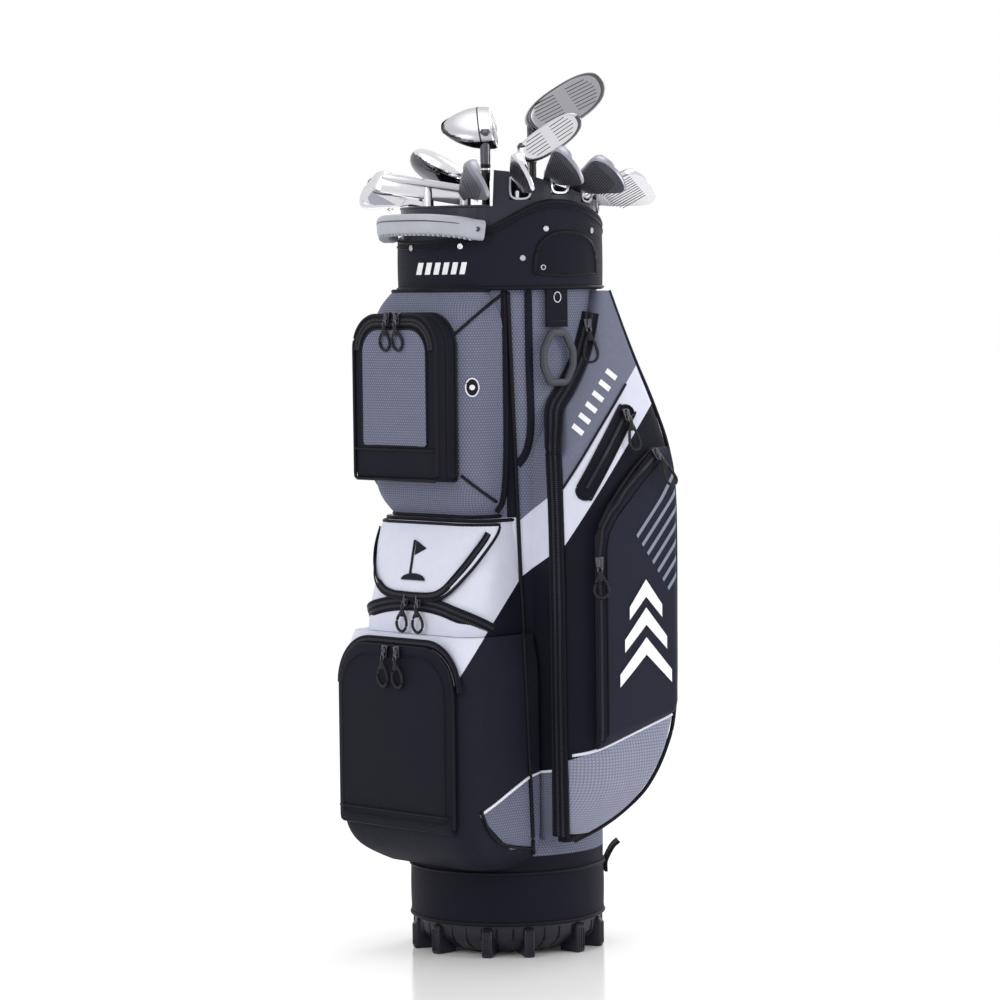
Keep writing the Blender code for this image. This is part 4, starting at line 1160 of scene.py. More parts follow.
def pouch_trims():
    edge_piping("upper_top_piping", UPPER_LEVELS, 0.787)
    edge_piping("upper_low_piping", UPPER_LEVELS, 0.5225)
    low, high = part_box("pouch_flap")
    front, near = -low.y, -high.y
    outline = arch(high.x, low.z, high.z, 0.040, 13)
    inner = arch(0.0565, 0.6055, high.z - 0.0170, 0.0285, 13)
    wider = offset_ring(outline, 1.004, POUCH_CENTRE)
    rim = even_xz(offset_ring(outline, 0.992, POUCH_CENTRE), -front - 0.0004)
    pipe("pouch_piping", rim, 0.0020, body="pouch", closed=True)
    pipe("pouch_rear_piping", even_xz(wider, -near - 0.0005), 0.0018, body="pouch", closed=True)
    pipe("pouch_gusset_piping", even_xz(wider[2:-2], -near - 0.015), 0.0013, body="pouch")
    track = arch(0.0645, 0.600, high.z - 0.0085, 0.034, 13)[3:-3]
    path = even_xz(track, -front - 0.0006)
    zip_on("pouch_zip", path, [-Y] * len(path), "pouch", width=0.0125)
    padded_panel("pouch_front", inner, crowned(0.0026, 0.0018), (0, 0.67), "grey", "pouch",
                 from_plane(front - 0.0004), slot="grey_fabric")
    pipe("pouch_front_piping", even_xz(inner, -front - 0.0012), 0.0015, body="pouch", closed=True)
    xs = [-0.071 + 0.142 * i / 20 for i in range(21)]
    path = [Vector((x, -front - 0.0008 - 0.0026 * (1 - (x / 0.073) ** 2), 0.602)) for x in xs]
    pipe("pouch_band_piping", path, 0.0013, body="pouch")
    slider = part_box("pouch_zip_slider")
    spot = (0, -front - 0.0012, (slider[0].z + slider[1].z) / 2 + 0.006)
    pull_pair("pouch_pull", spot, (0.0085, 0.0085), (0.10, 0.08), "pouch_slider", 0.028, "pouch_zip_slider")


def badge(tree):
    """A small round badge with a ring round it, on the upper pocket's side."""

    def oval(wide, tall, angles):
        return [(-0.0343 + wide * math.cos(a), 0.6745 + tall * math.sin(a)) for a in angles]

    path, _ = laid(tree, oval(0.0075, 0.0105, around(24) + [2 * math.pi]), 0.0008, step=0.002)
    pipe("badge_ring", path[:-1], 0.0009, "white_piping", slot="white_fabric", closed=True)
    field = oval(0.0068, 0.0098, around(24))
    print_on("badge_field", field, tree, "piping", "bag", 0.0007, slot="black_fabric")
    print_on("badge_dot", oval(0.0032, 0.0032, around(16)), tree, "white_piping", "bag", 0.0012)


def long_zip(tree):
    """The long front zip: up the clothing pocket's front wall, then along its seam with the tube."""
    wall = [(0.0640, 0.146), (0.0636, 0.220), (0.0632, 0.320), (0.0632, 0.420), (0.0622, 0.520),
            (0.0602, 0.592)]
    path, normals = laid(tree, wall, 0.0006)
    knots = path[::6] + path[-1:] + [Vector((0.1440, -0.0530, 0.604)), Vector((0.1350, -0.0435, 0.622))]
    leans = [(n + Vector((0.25, -0.6, 0)) * 0.6).normalized() for n in normals[::6] + normals[-1:]]
    leans += [Vector((0.25, -0.90, 0.20)).normalized(), Vector((0.35, -0.85, 0.35)).normalized()]
    for z in (0.645, 0.665, 0.685, 0.705, 0.725, 0.742, 0.757):
        front, above = lerp_levels(SIDE_LEVELS, z)[2], lerp_levels(SIDE_LEVELS, z + 0.004)[2]
        corner = Vector((math.sqrt((TUBE_R + 0.0005) ** 2 - front**2), front, z))
        lean = Vector((0, -1, (above - front) / 0.004)).normalized() + Vector((*corner.xy, 0)).normalized()
        knots.append(corner + lean * 0.0072)
        leans.append(lean.normalized())
    whole, turns = curve_through(knots, 5), curve_through(leans, 5)
    path = even(whole, step=0.004)
    normals = []
    for p in path:
        near = min(range(len(whole)), key=lambda k: (whole[k] - p).length)
        normals.append(turns[near].normalized())
    zip_on("side_long_zip", path, normals, width=0.019)
    for k, s in (("a", -0.0100), ("b", 0.0100)):
        sides = [n.cross(direction(path, i)).normalized() for i, n in enumerate(normals)]
        edge = [p + side * s + n * 0.0004 for p, side, n in zip(path, sides, normals)]
        pipe(f"side_long_zip_edge_{k}", edge, 0.0015)
    i = int(len(path) * 0.975)
    pull("side_long_pull", path[i] + normals[i] * 0.0015, normals[i], (0.05, 0, -1), length=0.036)


def side_trims(tree):
    long_zip(tree)
    pts = []
    for z, reach, front, rear in SIDE_LEVELS:
        k = side_scale(front, rear)
        pts.append((reach - 0.010 * k, rear - 0.0025 * k, z))
    pipe("side_rear_piping", even(curve_through(pts), step=0.005), 0.0024)
    foot_line = [(0.078, 0.2435), (0.105, 0.2495), (0.140, 0.2625), (0.170, 0.2735), (0.2035, 0.285)]
    pipe("side_white_piping", laid(tree, foot_line, 0.0010)[0], 0.0018, "white_piping", slot="white_fabric")
    band_edge = [(0.0700, 0.5555), (0.090, 0.5865), (0.110, 0.6180), (0.1275, 0.645), (0.146, 0.674)]
    pipe("band_top_piping", laid(tree, band_edge, 0.0008)[0], 0.0015)
    # a plain row of bars that follows the band
    start, end = Vector((0.0885, 0.6230)), Vector((0.1290, 0.6860))
    run = (end - start).normalized()
    up = Vector((-run.y, run.x))
    for i in range(6):
        corners = [start.lerp(end, i / 5) + run * a + up * b
                   for a, b in ((-0.0040, -0.0075), (0.0020, -0.0075), (0.0040, 0.0075), (-0.0020, 0.0075))]
        print_on(f"band_bar_{i + 1}", corners, tree, "white_print", "bag", 0.0007)
    dry_slot(tree)


def dry_slot(tree):
    """The dry pocket's slot, its rim and its zip."""
    a, b = Vector((0.1440, 0.6390)), Vector((0.0960, 0.5530))
    along = (b - a).normalized()
    turn = math.degrees(math.atan2(along.x, -along.y))

    def stadium(radius):
        return arc(b, radius, turn + 180, turn + 360, 9) + arc(a, radius, turn, turn + 180, 9)

    print_on("dry_slot_field", stadium(0.0098), tree, "black", "bag", 0.0006, slot="black_fabric")
    ring = stadium(0.0106)
    pipe("dry_slot_rim", laid(tree, ring + ring[:1], 0.0012, step=0.003)[0], 0.0013)
    path, normals = laid(tree, [a + along * 0.002, (a + b) / 2, b - along * 0.002], 0.0012)
    zip_on("dry_zip", path, normals, width=0.006, tracks=1)
    i = nearest(path, "dry_zip_slider")
    spot = path[i] + normals[i] * 0.0018
    pull("dry_pull", spot, normals[i], -UP, "dry_slider", 0.034, "dry_zip_slider")


def door_trims(door):
    tree = surface([door])

    def on_door(points):
        return laid(tree, points, 0.0006, DOOR, rounds=3)

    track = [(-0.0325, 0.262), (-0.0325, 0.300), (-0.0325, 0.400), (-0.0325, 0.490), (-0.0225, 0.518),
             (-0.0030, 0.541), (0.0350, 0.571), (0.0700, 0.595)]
    inner = [(-0.0255, 0.268), (-0.0255, 0.300), (-0.0255, 0.400), (-0.0255, 0.486), (-0.0160, 0.512),
             (0.0030, 0.533), (0.0400, 0.562), (0.0720, 0.584)]
    rim = [(-0.0345, 0.256), (-0.0350, 0.300), (-0.0350, 0.400), (-0.0350, 0.496), (-0.0240, 0.524),
           (-0.0050, 0.546), (0.0330, 0.577), (0.0660, 0.5975)]
    path, normals = on_door(track)
    zip_on("door_zip", path, normals, "door", width=0.010, tracks=1)
    pipe("door_inner_piping", on_door(inner)[0], 0.0013, body="door")
    edge = even([(a, b, 0) for a, b in flat_curve(rim, 6)], step=0.004)
    pipe("door_rim_piping", [Vector((side_reach(p.y) + 0.0050, *p.xy)) for p in edge], 0.0022, body="door")
    # printed stripes, then a plain mark: three stacked chevrons
    for i in range(7):
        y0, z0, y1 = 0.0227 + 0.0086 * i, 0.4960 - 0.0107 * i, 0.0890
        z1 = z0 + (y1 - y0) * 1.03
        stripe = [(y0, z0), (y1, z1), (y1, z1 + 0.0063), (y0 - 0.0025, z0 + 0.0037)]
        print_on(f"door_stripe_{i + 1}", stripe, tree, "stripe", "door", 0.0006, DOOR, "black_fabric")
    middle, thick = 0.0350, 0.015
    for i, z in enumerate((0.338, 0.378, 0.416)):
        half, tip = 0.043 - 0.008 * i, z + 0.041 - 0.005 * i
        peak, notch = (middle, tip), (middle, tip - thick * 1.35)
        left = [(middle - half, z), peak, notch, (middle - half, z - thick)]
        right = [peak, (middle + half, z), (middle + half, z - thick), notch]
        for side, shape in (("left", left), ("right", right)):
            print_on(f"door_mark_{i + 1}_{side}", shape, tree, "white_print", "door", 0.0009, DOOR)
    pull("door_rear_pull", path[-3] + normals[-3] * 0.0012, normals[-3], (0.0, 0.15, -1), "door", 0.032)
    i = nearest(path, "side_zip_slider")
    spot = path[i] + normals[i] * 0.0012
    pull("door_pull", spot, normals[i], (0.0, 0.1, -1), "door_slider", 0.030, "side_zip_slider")


# ---------------------------------------------------------------- handle, ring, straps
def handle():
    """The moulded grab handle: a rounded bar with a ribbed underside, fixed by two pads."""
    low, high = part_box("front_handle")
    z, root = (low.z + high.z) / 2, 0.1296
    half = [(0, 0.0255), (15, 0.022), (27, 0.0135), (34, 0.005), (38, -0.001)]
    points = []
    for degrees, reach in [(-d, r) for d, r in half[:0:-1]] + half:
        drop = 0.0085 * min(1.0, abs(degrees) / 36) ** 3
        points.append(radial(math.radians(degrees - 90)) * (root + reach) + UP * (z + 0.003 - drop))
    path = even(curve_through(points, 8), step=0.003)
    normals = [Vector((*p.xy, 0)).normalized() for p in path]
    h, w = (high.z - low.z) / 2 - 0.0030, 0.0080
    section = arc((h - 0.006, w - 0.006), 0.006, 0, 90, 5) + arc((0.006 - h, w - 0.006), 0.006, 90, 180, 5)
    section += arc((0.005 - h, 0.005 - w), 0.005, 180, 270, 5)
    section += arc((h - 0.005, 0.005 - w), 0.005, 270, 360, 5)
    sweep("handle_bar", path, section[::-1], "grey_plastic", normals=normals, node="front_handle",
          slot="grey_plastic", smooth=60)
    rib = ((0.0060, 0.001 - h), (0.0060, -h - 0.0014), (-0.0060, -h - 0.0014), (-0.0060, 0.001 - h))
    for i in range(4, len(path) - 4, 2):
        side = direction(path, i)
        rows = [[path[i] + side * k + normals[i] * a + UP * b for a, b in rib] for k in (-0.0009, 0.0009)]
        solid(f"handle_rib_{i}", rows, "grey_plastic", "bag", slot="grey_plastic", smooth=30)
    groove = [p + n * (w + 0.0001) + UP * 0.004 for p, n in zip(path[3:-3], normals[3:-3])]
    pipe("handle_groove", groove, 0.0007, "ring_plastic", slot="grey_plastic")
    for k, degrees in enumerate((-126.5, -53.5)):
        out = radial(math.radians(degrees))
        rivet(f"handle_rivet_{k + 1}", out * (root + 0.0105) + UP * (z - 0.004), out, 0.0030, "ring_plastic")


def ring_and_tab():
    out, side = radial(math.radians(-10)), tangent(math.radians(-10))
    low, high = [corner.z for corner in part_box("towel_strap")]
    top = out * (TUBE_R + 0.0032)
    path = even([top + UP * z for z in (high, 0.765, low + 0.001)], step=0.004)
    band("towel_tab", path, 0.030, 0.0030, "webbing", [out] * len(path), "webbing", 40, node="towel_strap")
    for k, z in enumerate((high - 0.006, low + 0.008)):
        stitch = [top + out * 0.0032 + side * s + UP * z for s in (-0.013, -0.006, 0, 0.006, 0.013)]
        pipe(f"towel_tab_stitch_{k + 1}", stitch, 0.0006, "cord", slot="webbing")
    spot = top + out * 0.0034 + UP * 0.778
    mark = [spot + side * (0.0048 * math.cos(t)) + UP * (0.0060 * math.sin(t)) for t in around(24)]
    pipe("towel_tab_mark", mark, 0.0005, "white_piping", slot="white_fabric", closed=True)
    right = [(0.012, 0.741), (0.026, 0.715), (0.026, 0.692), (0.014, 0.668)]
    shape = [(-s, z) for s, z in right[:1]] + right + [(-s, z) for s, z in right[:0:-1]]
    knots = [Vector((0.80 * s, 0.7075 + 0.80 * (z - 0.705))) for s, z in shape]
    path = []
    for i, p in enumerate(knots):
        before, after = knots[i - 1], knots[(i + 1) % len(knots)]
        for other, share in ((before, 0.30), (before, 0.10), (after, 0.10), (after, 0.30)):
            q = p.lerp(other, share)
            path.append(out * (TUBE_R + 0.0070) + side * q.x + UP * q.y)
    eighth = ((1, -0.6), (1, 0.6), (0.6, 1), (-0.6, 1), (-1, 0.6), (-1, -0.6), (-0.6, -1), (0.6, -1))
    sweep("towel_ring_body", path, [(x * 0.0042, y * 0.0030) for x, y in eighth], "ring_plastic", "ring",
          normals=[out] * len(path), closed=True, node="towel_ring", slot="grey_plastic", smooth=50)


def squared(angle, a, b, power_a, power_b):
    """A point of a squared-off oval."""
    c, s = math.cos(angle), math.sin(angle)
    return a * math.copysign(abs(c) ** power_a, c), b * math.copysign(abs(s) ** power_b, s)


def straps():
    low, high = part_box("shoulder_strap")
    x = (low.x + high.x) / 2
    back = math.sqrt(TUBE_R**2 - x**2) + 0.009
    hang = ((0, 0.775), (0.010, 0.740), (0.032, 0.660), (0.044, 0.540), (0.036, 0.420), (0.016, 0.330),
            (0, 0.280))
    path = even(curve_through([(x, back + far, z) for far, z in hang], 8), step=0.006)
    count = len(path)
    rows = []
    for i, p in enumerate(path):
        ahead = direction(path, i)
        out = (Y - ahead).normalized()
        t = i / (count - 1)
        pad = min(1.0, max(0.0, 8 * min(t - 0.12, 0.88 - t)))
        ovals = [squared(b, 0.012 + 0.0122 * pad, 0.0016 + 0.0034 * pad, 0.55, 0.7) for b in around(20)]
        rows.append([p + X * a + out * b for a, b in ovals])
    strap = solid("shoulder_strap_pad", rows, "black", "bag", node="shoulder_strap", slot="webbing",
                  smooth=60)
    for number, side in ((1, -0.0238), (3, 0.0238)):
        edge = [p + X * side for p in path[int(count * 0.2) : int(count * 0.8)]]
        pipe(f"shoulder_strap_piping_{number}", edge, 0.0016, slot="webbing")
    corners = ((1, 1), (-1, 1), (-1, -1), (1, -1))
    for k, i in enumerate((2, count - 4)):
        rows = []
        for y, grow in ((-0.0040, -0.001), (-0.003, 0.0), (0.0045, 0.0), (0.0055, -0.001)):
            rows.append([path[i] + Vector((a * (0.019 + grow), y, b * (0.012 + grow))) for a, b in corners])
        solid(f"strap_anchor_{k + 1}", rows, "moulded", "bag", slot="webbing", smooth=30)
    for k, t in enumerate((0.30, 0.70)):
        p = path[int(count * t)]
        loop = [p + Vector((*squared(b, 0.0262, 0.0062, 0.5, 0.5), 0)) for b in around(28)]
        section = [(0.006, 0), (0.006, 0.0012), (-0.006, 0.0012), (-0.006, 0)]
        sweep(f"strap_keeper_{k + 1}", loop, section, "webbing", normals=[(q - p).normalized() for q in loop],
              closed=True, slot="webbing", smooth=40)


def lift_loop():
    """The webbing loop at the base's rear."""
    out, side = radial(math.radians(52)), tangent(math.radians(52))
    rise = ((0, 0.084), (0, 0.096), (0.004, 0.106), (0.010, 0.116), (0.017, 0.122))
    path = even(curve_through([out * (TUBE_R + 0.0012 + r) + UP * z for r, z in rise]), step=0.003)
    normals = []
    for i in range(len(path)):
        away = side.cross(direction(path, i))
        normals.append(away if away.dot(out) > 0 else -away)
    band("base_loop", path, 0.026, 0.0036, "webbing", normals, "webbing", 40, node="base_lift_handle")


def cuff_trims(tree):
    rivets = ((-0.1040, 0.8375), (-0.0460, 0.8385), (0.0540, 0.8580), (0.0265, 0.8240), (0.0500, 0.8130),
              (0.1080, 0.8560))
    for i, (u, z) in enumerate(rivets):
        found, normals = laid(tree, [(u, z), (u + 0.001, z)], 0.0006, step=0.0005)
        if found:
            rivet(f"cuff_rivet_{i + 1}", found[0], normals[0], 0.0036)
    # a plain row of slanted bars
    for i in range(6):
        u = -0.0985 + 0.0102 * i
        bar = [(u, 0.8060), (u + 0.0062, 0.8060), (u + 0.0092, 0.8200), (u + 0.0030, 0.8200)]
        print_on(f"cuff_bar_{i + 1}", bar, tree, "white_print", "bag", 0.0007)
    # a small flap pocket sewn on the cuff
    top = [(0.0400, 0.8060), (0.0415, 0.8260), (0.0480, 0.8420), (0.0620, 0.8520), (0.0790, 0.8540),
           (0.0960, 0.8500), (0.1070, 0.8400), (0.1110, 0.8250), (0.1120, 0.8060)]
    pipe("cuff_pocket_piping", laid(tree, top, 0.0010)[0], 0.0020)
    foot_line = [(0.0400, 0.8060), (0.0760, 0.8030), (0.1120, 0.8060)]
    pipe("cuff_pocket_low_piping", laid(tree, foot_line, 0.0008)[0], 0.0014)
    outline = [(u, z - 0.001) for u, z in top] + [(0.0760, 0.8040)]
    print_on("cuff_pocket_cloth", outline, tree, "black", "bag", 0.0016, slot="black_fabric")


# ---------------------------------------------------------------- organiser top
RIM_WELLS = {"iron_7": -78, "iron_8": -53, "iron_9": -29, "sand_wedge": -5}


def top_trims():
    """The moulded top stays the CAD piece; this adds its collars, notch liners and rim beads."""
    for node, finish in (("divider_top", "deck"), ("divider_sheet_front", "black"),
                         ("divider_sheet_rear", "black"), ("stay_rod_front", "rod"),
                         ("stay_rod_right", "rod")):
        materials = NODES[node].data.materials
        materials.clear()
        materials.append(M[finish])
    tree = surface([NODES["divider_top"]])

    def height(p):
        hit, _, _, _ = tree.ray_cast(Vector((p.x, p.y, 1.2)), -UP)
        return hit.z if hit is not None and hit.z > 0.84 else None

    for name in CLUBS:
        if name not in RIM_WELLS:
            well_collar(name, height)
    for name, degrees in RIM_WELLS.items():
        notch_liner(name, math.radians(degrees) + TURN)
    runs = [[]]
    for a in around(96) + [2 * math.pi]:
        z = height(radial(a) * 0.1172)
        if z is None or (runs[-1] and abs(z - runs[-1][-1].z) > 0.006):
            runs.append([])
        if z is not None:
            runs[-1].append(radial(a) * 0.1176 + UP * z)
    for i, run in enumerate([run for run in runs if len(run) > 3]):
        pipe(f"top_rim_bead_{i + 1}", run, 0.0016, "deck", slot="black_plastic")


def well_collar(name, height):
    """A collar round a club's well, where the top is level enough to hold one."""
    tip, up, _ = club_axis(name)
    place = tip + up * ((0.885 - tip.z) / up.z)
    pts = []
    for a in around(32):
        spot = place + radial(a) * 0.0162
        z = height(spot)
        if z is None:
            return
        pts.append(Vector((spot.x, spot.y, z + 0.0004)))
    if max(p.z for p in pts) - min(p.z for p in pts) < 0.012:
        pipe(f"{name}_well_collar", pts, 0.0014, "deck", slot="black_plastic", closed=True)


def notch_liner(name, angle):
    """A bright U-shaped liner in a notch's mouth."""
    out, side = radial(angle), tangent(angle)
    floor, half = club_axis(name)[0].z - 0.0236, 0.0121
    left = [(-half, min(floor + 0.026, 0.925)), (-half, floor + 0.008), (-half * 0.72, floor + 0.002)]
    outline = left + [(0, floor + 0.0006)] + [(-s, z) for s, z in left[::-1]]
    path = [out * 0.1183 + side * s + UP * z for s, z in flat_curve(outline, 5)]
    section = [(0.0011, -0.0010), (0.0011, 0.0008), (-0.0011, 0.0008), (-0.0011, -0.0010)]
    sweep(f"{name}_notch_liner", path, section, "satin", normals=[out] * len(path), slot="polished_steel",
          smooth=50)


# ---------------------------------------------------------------- clubs
# kind, heading of the toe in the organiser's axes, and a wood's width, height, depth, loft
# and lie or an iron's loft
CLUBS = {
    "driver": ("wood", 4, (0.108, 0.051, 0.094, 10, 58)),
    "fairway_wood_3": ("wood", 2, (0.088, 0.035, 0.050, 15, 57)),
    "fairway_wood_5": ("wood", 93, (0.076, 0.034, 0.064, 18, 57)),
    "hybrid": ("wood", 172, (0.082, 0.038, 0.052, 20, 60)),
    "putter": ("putter", 171, ()),
    "iron_5": ("iron", -82, 27),
    "iron_6": ("iron", 150, 30),
    "iron_7": ("iron", -88, 26),
    "iron_8": ("iron", -78, 34),
    "iron_9": ("iron", -60, 38),
    "sand_wedge": ("iron", -20, 42),
}
NECK = {"wood": 0.034, "iron": 0.058, "putter": 0.050}
DARK_IRONS = ("iron_5", "iron_8", "iron_9")
# shell, crown, sole field, face, lines on the face and their slant
WOOD_LOOKS = {
    "driver": ("wood_dark", "wood_dark", "groove", "brushed", 8, 0.10),
    "fairway_wood_3": ("wood_dark", "satin", "groove", "steel", 6, 0.0),
    "fairway_wood_5": ("wood_dark", "satin", "steel", "satin", 6, 0.0),
    "hybrid": ("wood_dark", "steel", "steel", "steel", 6, 0.0),
}
# sections of an iron from its heel: place along it, low edge, high edge, thickness
IRON_SECTIONS = [
    (0.000, 0.002, 0.016, 0.0110), (0.014, 0.001, 0.021, 0.0105), (0.026, 0.000, 0.031, 0.0130),
    (0.044, 0.000, 0.043, 0.0150), (0.060, 0.000, 0.053, 0.0160), (0.070, 0.003, 0.053, 0.0150),
    (0.077, 0.011, 0.044, 0.0110), (0.080, 0.020, 0.034, 0.0070)]
# rings of a wood from its face: place from front to back, share of the full size
WOOD_RINGS = [(-0.012, 0.02), (-0.010, 0.40), (-0.006, 0.76), (0.0, 0.90), (0.015, 0.940), (0.06, 0.975),
              (0.22, 1.0), (0.45, 0.93), (0.68, 0.74), (0.86, 0.48), (0.96, 0.24), (0.985, 0.03)]


def club_axis(name):
    """A club's tip, the way up its shaft and its length, from its CAD shaft and grip."""
    points = [v.co for v in NODES[name + "_shaft"].data.vertices]
    high, low = max(p.z for p in points), min(p.z for p in points)
    top = [p for p in points if p.z > high - 0.006]
    foot_end = [p for p in points if p.z < low + 0.006]
    top = sum(top, Vector()) / len(top)
    up = (top - sum(foot_end, Vector()) / len(foot_end)).normalized()
    tip = top + up * (NECK[CLUBS[name][0]] + 0.0004)
    return tip, up, (tip.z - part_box(name + "_grip")[0].z) / up.z


def club_matrix(name):
    """A club's place, with X to its toe and Z up to its tip, and its length."""
    tip, up, length = club_axis(name)
    toe = radial(math.radians(CLUBS[name][1]) + TURN)
    toe = (toe - up * toe.dot(up)).normalized()
    place = Matrix((toe, up.cross(toe), up)).transposed().to_4x4()
    place.translation = tip
    return place, length


def in_club(name, suffix, rows, place, finish, slot="dark_steel", smooth=35, **more):
    return solid(f"{name}_{suffix}", rows, finish, name, place=place, slot=slot, smooth=smooth, **more)


def head_slot(name):
    if CLUBS[name][0] == "wood":
        return "hollow_head"
    return "dark_steel" if name in DARK_IRONS else "polished_steel"


def head_axes(angle):
    """A head's long axis and its way down, turned from its shaft."""
    return Vector((math.cos(angle), 0, math.sin(angle))), Vector((math.sin(angle), 0, -math.cos(angle)))


def smooth_table(table, steps):
    """Rows of numbers with more rows between them, on smooth curves."""
    ends = [table[0], *table, table[-1]]
    found = []
    for i in range(len(table) - 1):
        columns = list(zip(*ends[i : i + 4]))
        found += [[catmull(four, k / steps) for four in columns] for k in range(steps)]
    return found + [list(table[-1])]


def iron_point(s, t, n, tilt):
    """A point of an iron: `s` along it, `t` down its face and `n` out from it."""
    along, down = head_axes(math.radians(28))
    a = (t - 0.011) * math.cos(tilt) + (n + 0.006) * math.sin(tilt) + 0.011
    b = (t - 0.011) * math.sin(tilt) - (n + 0.006) * math.cos(tilt)
    return along * s + down * a + Y * b


def iron(name, place, loft, finish, lines):
    tilt = math.radians(loft)

    def plate(suffix, outline, depths, paint):
        rows = [[iron_point(s, t, n, tilt) for s, t in outline] for n in depths]
        in_club(name, suffix, rows, place, paint, smooth=20)

    rows = []
    for s, low, high, thick in smooth_table(IRON_SECTIONS, 6):
        tall, top = high - low, min(0.0050, thick)
        cave = 0.0022 * min(1.0, max(0.0, (s - 0.020) / 0.012)) * min(1.0, max(0.0, (0.074 - s) / 0.006))
        face = [(low + 0.0008, -0.0016), (low + 0.0025, 0.0), (low + tall * 0.35, 0.0),
                (low + tall * 0.7, 0.0), (high - 0.0008, 0.0), (high, -0.0008)]
        back = [(high, -top + 0.001), (high - 0.001, -top), (high - tall * 0.10, -top),
                (high - tall * 0.13, -top + cave), (low + 0.56 * tall, -top + cave),
                (low + 0.50 * tall, -0.55 * thick - 0.0005), (low + 0.44 * tall, -0.55 * thick - 0.002)]
        sole = [(low + 0.22 * tall, -0.85 * thick), (low + 0.006, -thick), (low + 0.0030, -thick + 0.0008),
                (low + 0.0006, -0.7 * thick), (low, -0.45 * thick)]
        rows.append([iron_point(s, t, n, tilt) for t, n in face + back + sole])
    in_club(name, "blade", rows, place, finish, head_slot(name), node=name + "_head")
    for i in range(lines):
        t = 0.0065 + i * (0.036 / lines)
        first = 0.026 + max(0.0, t - 0.028) * 0.75
        line = [(first, t - 0.0004), (0.0665, t - 0.0004), (0.0665, t + 0.0004), (first, t + 0.0004)]
        plate(f"groove_{i + 1}", line, (-0.0002, 0.00022), "groove")
    outline = [(0.030, 0.030), (0.050, 0.0425), (0.062, 0.0445), (0.068, 0.040), (0.068, 0.031)]
    plate("back_badge", outline, (-0.0040, -0.0033), "satin" if finish == "dark_steel" else "dark_steel")
    hosel = [(0.0050, 0.0042), (0.0062, 0.0036), (0.0066, 0.001), (0.0066, -0.010), (0.0064, -0.030),
             (0.0065, -0.0560), (0.0063, -0.0575), (0.0050, -0.0578)]
    in_club(name, "hosel", turned(hosel), place, "satin" if finish == "dark_steel" else finish)


def wood(name, place, size, finish, crown, field, face_finish, lines, slant):
    width, height, depth, loft, lie = size
    along, down = head_axes(math.radians(90 - lie))
    slope = math.tan(math.radians(loft))

    def point(s, t, back):
        lean = -t * slope * (1 - back)
        return along * (s + width / 2 - 0.010) + down * (t + 0.004) + Y * (depth * (back - 0.18) + lean)

    def ring(back, share):
        row = []
        for a in around(56):
            above = math.sin(a) <= 0
            s, t = squared(a, width / 2 * share, height * (0.44 if above else 0.56) * share, 0.80, 0.80)
            row.append(point(s, t + height * 0.10 * back * (1 if math.sin(a) < 0 else -0.3), back))
        return row

    def strip(suffix, backs, first, last, paint):
        """A painted field that follows the shell between two of its rings."""
        rows = []
        for back in backs:
            a, b = next(pair for pair in zip(table, table[1:]) if pair[0][0] <= back <= pair[1][0])
            share = a[1] + (b[1] - a[1]) * (back - a[0]) / (b[0] - a[0])
            rows.append(ring(back, share * 1.006)[first:last])
        in_club(name, suffix, rows, place, paint, closed=False, caps=False, smooth=180)

    table = smooth_table(WOOD_RINGS, 4)
    rows = [ring(*v) for v in table]
    shell = in_club(name, "shell", rows, place, finish, head_slot(name), 180, node=name + "_head")
    shell.data.materials.append(M[crown])
    back_to_head = place.inverted()
    for patch in shell.data.polygons:
        if (back_to_head @ patch.center).dot(down) - 0.004 < -height * 0.06:
            patch.material_index = 1
    strip("skirt_line", (0.06, 0.09), 0, 29, "groove")
    if name == "fairway_wood_5":
        strip("crown_line", (0.24, 0.27), 29, 56, "groove")
    strip("sole_field", (0.20, 0.26, 0.32, 0.38, 0.44), 8, 21, field)
    strip("sole_accent", (0.47, 0.50), 10, 19, "red")
    plate = ((-0.016, 0.02), (-0.0145, 0.40), (-0.0110, 0.72), (-0.0080, 0.835), (-0.002, 0.865))
    in_club(name, "face", [ring(*v) for v in plate], place, face_finish, "polished_steel", 60)
    for i in range(lines):
        t = height * (-0.27 + 0.58 * i / (lines - 1))
        half = width * 0.37 * math.sqrt(max(0.1, 1 - (abs(t) / (height * 0.56)) ** 1.6))
        for k, (x0, x1) in enumerate(((-half, -width * 0.07), (width * 0.07, half))):
            line = ((x0, t - 0.0004), (x1, t - 0.0004), (x1, t + 0.0004), (x0, t + 0.0004))
            inner = [point(s, u + slant * s, -0.0045) for s, u in line]
            outer = []
            for s, u in line:
                swell = 0.0060 * (1 - (s / (width * 0.43)) ** 2)
                outer.append(point(s, u + slant * s, -0.0120 - swell))
            in_club(name, f"face_line_{i * 2 + k + 1}", [inner, outer], place, "groove", smooth=20)
    hosel = [(0.0050, 0.008), (0.0082, 0.004), (0.0070, -0.003), (0.0064, -0.010), (0.0062, -0.030),
             (0.0060, -0.0335), (0.0050, -0.0338)]
    in_club(name, "hosel", turned(hosel), place, finish, smooth=40)


def rounded_block(size, centre, r=0.0012):
    """A block with rounded edges, turned to the putter's lie."""
    sx, sy, sz = (v / 2 for v in size)
    turn = Matrix.Rotation(-math.radians(10), 3, "Y")
    rim = ((sz, r), (sz - r * 0.3, r * 0.3), (sz - r, 0))
    rows = []
    for z, inset in [(-z, inset) for z, inset in rim] + list(rim[::-1]):
        corner = max(r - inset, 0.0002)
        w, d = sx - r + corner, sy - r + corner
        plan = rounded_box((-w, w), (-d, d), corner)
        rows.append([turn @ (Vector((x, y, z)) + Vector(centre)) for x, y in plan])
    return rows


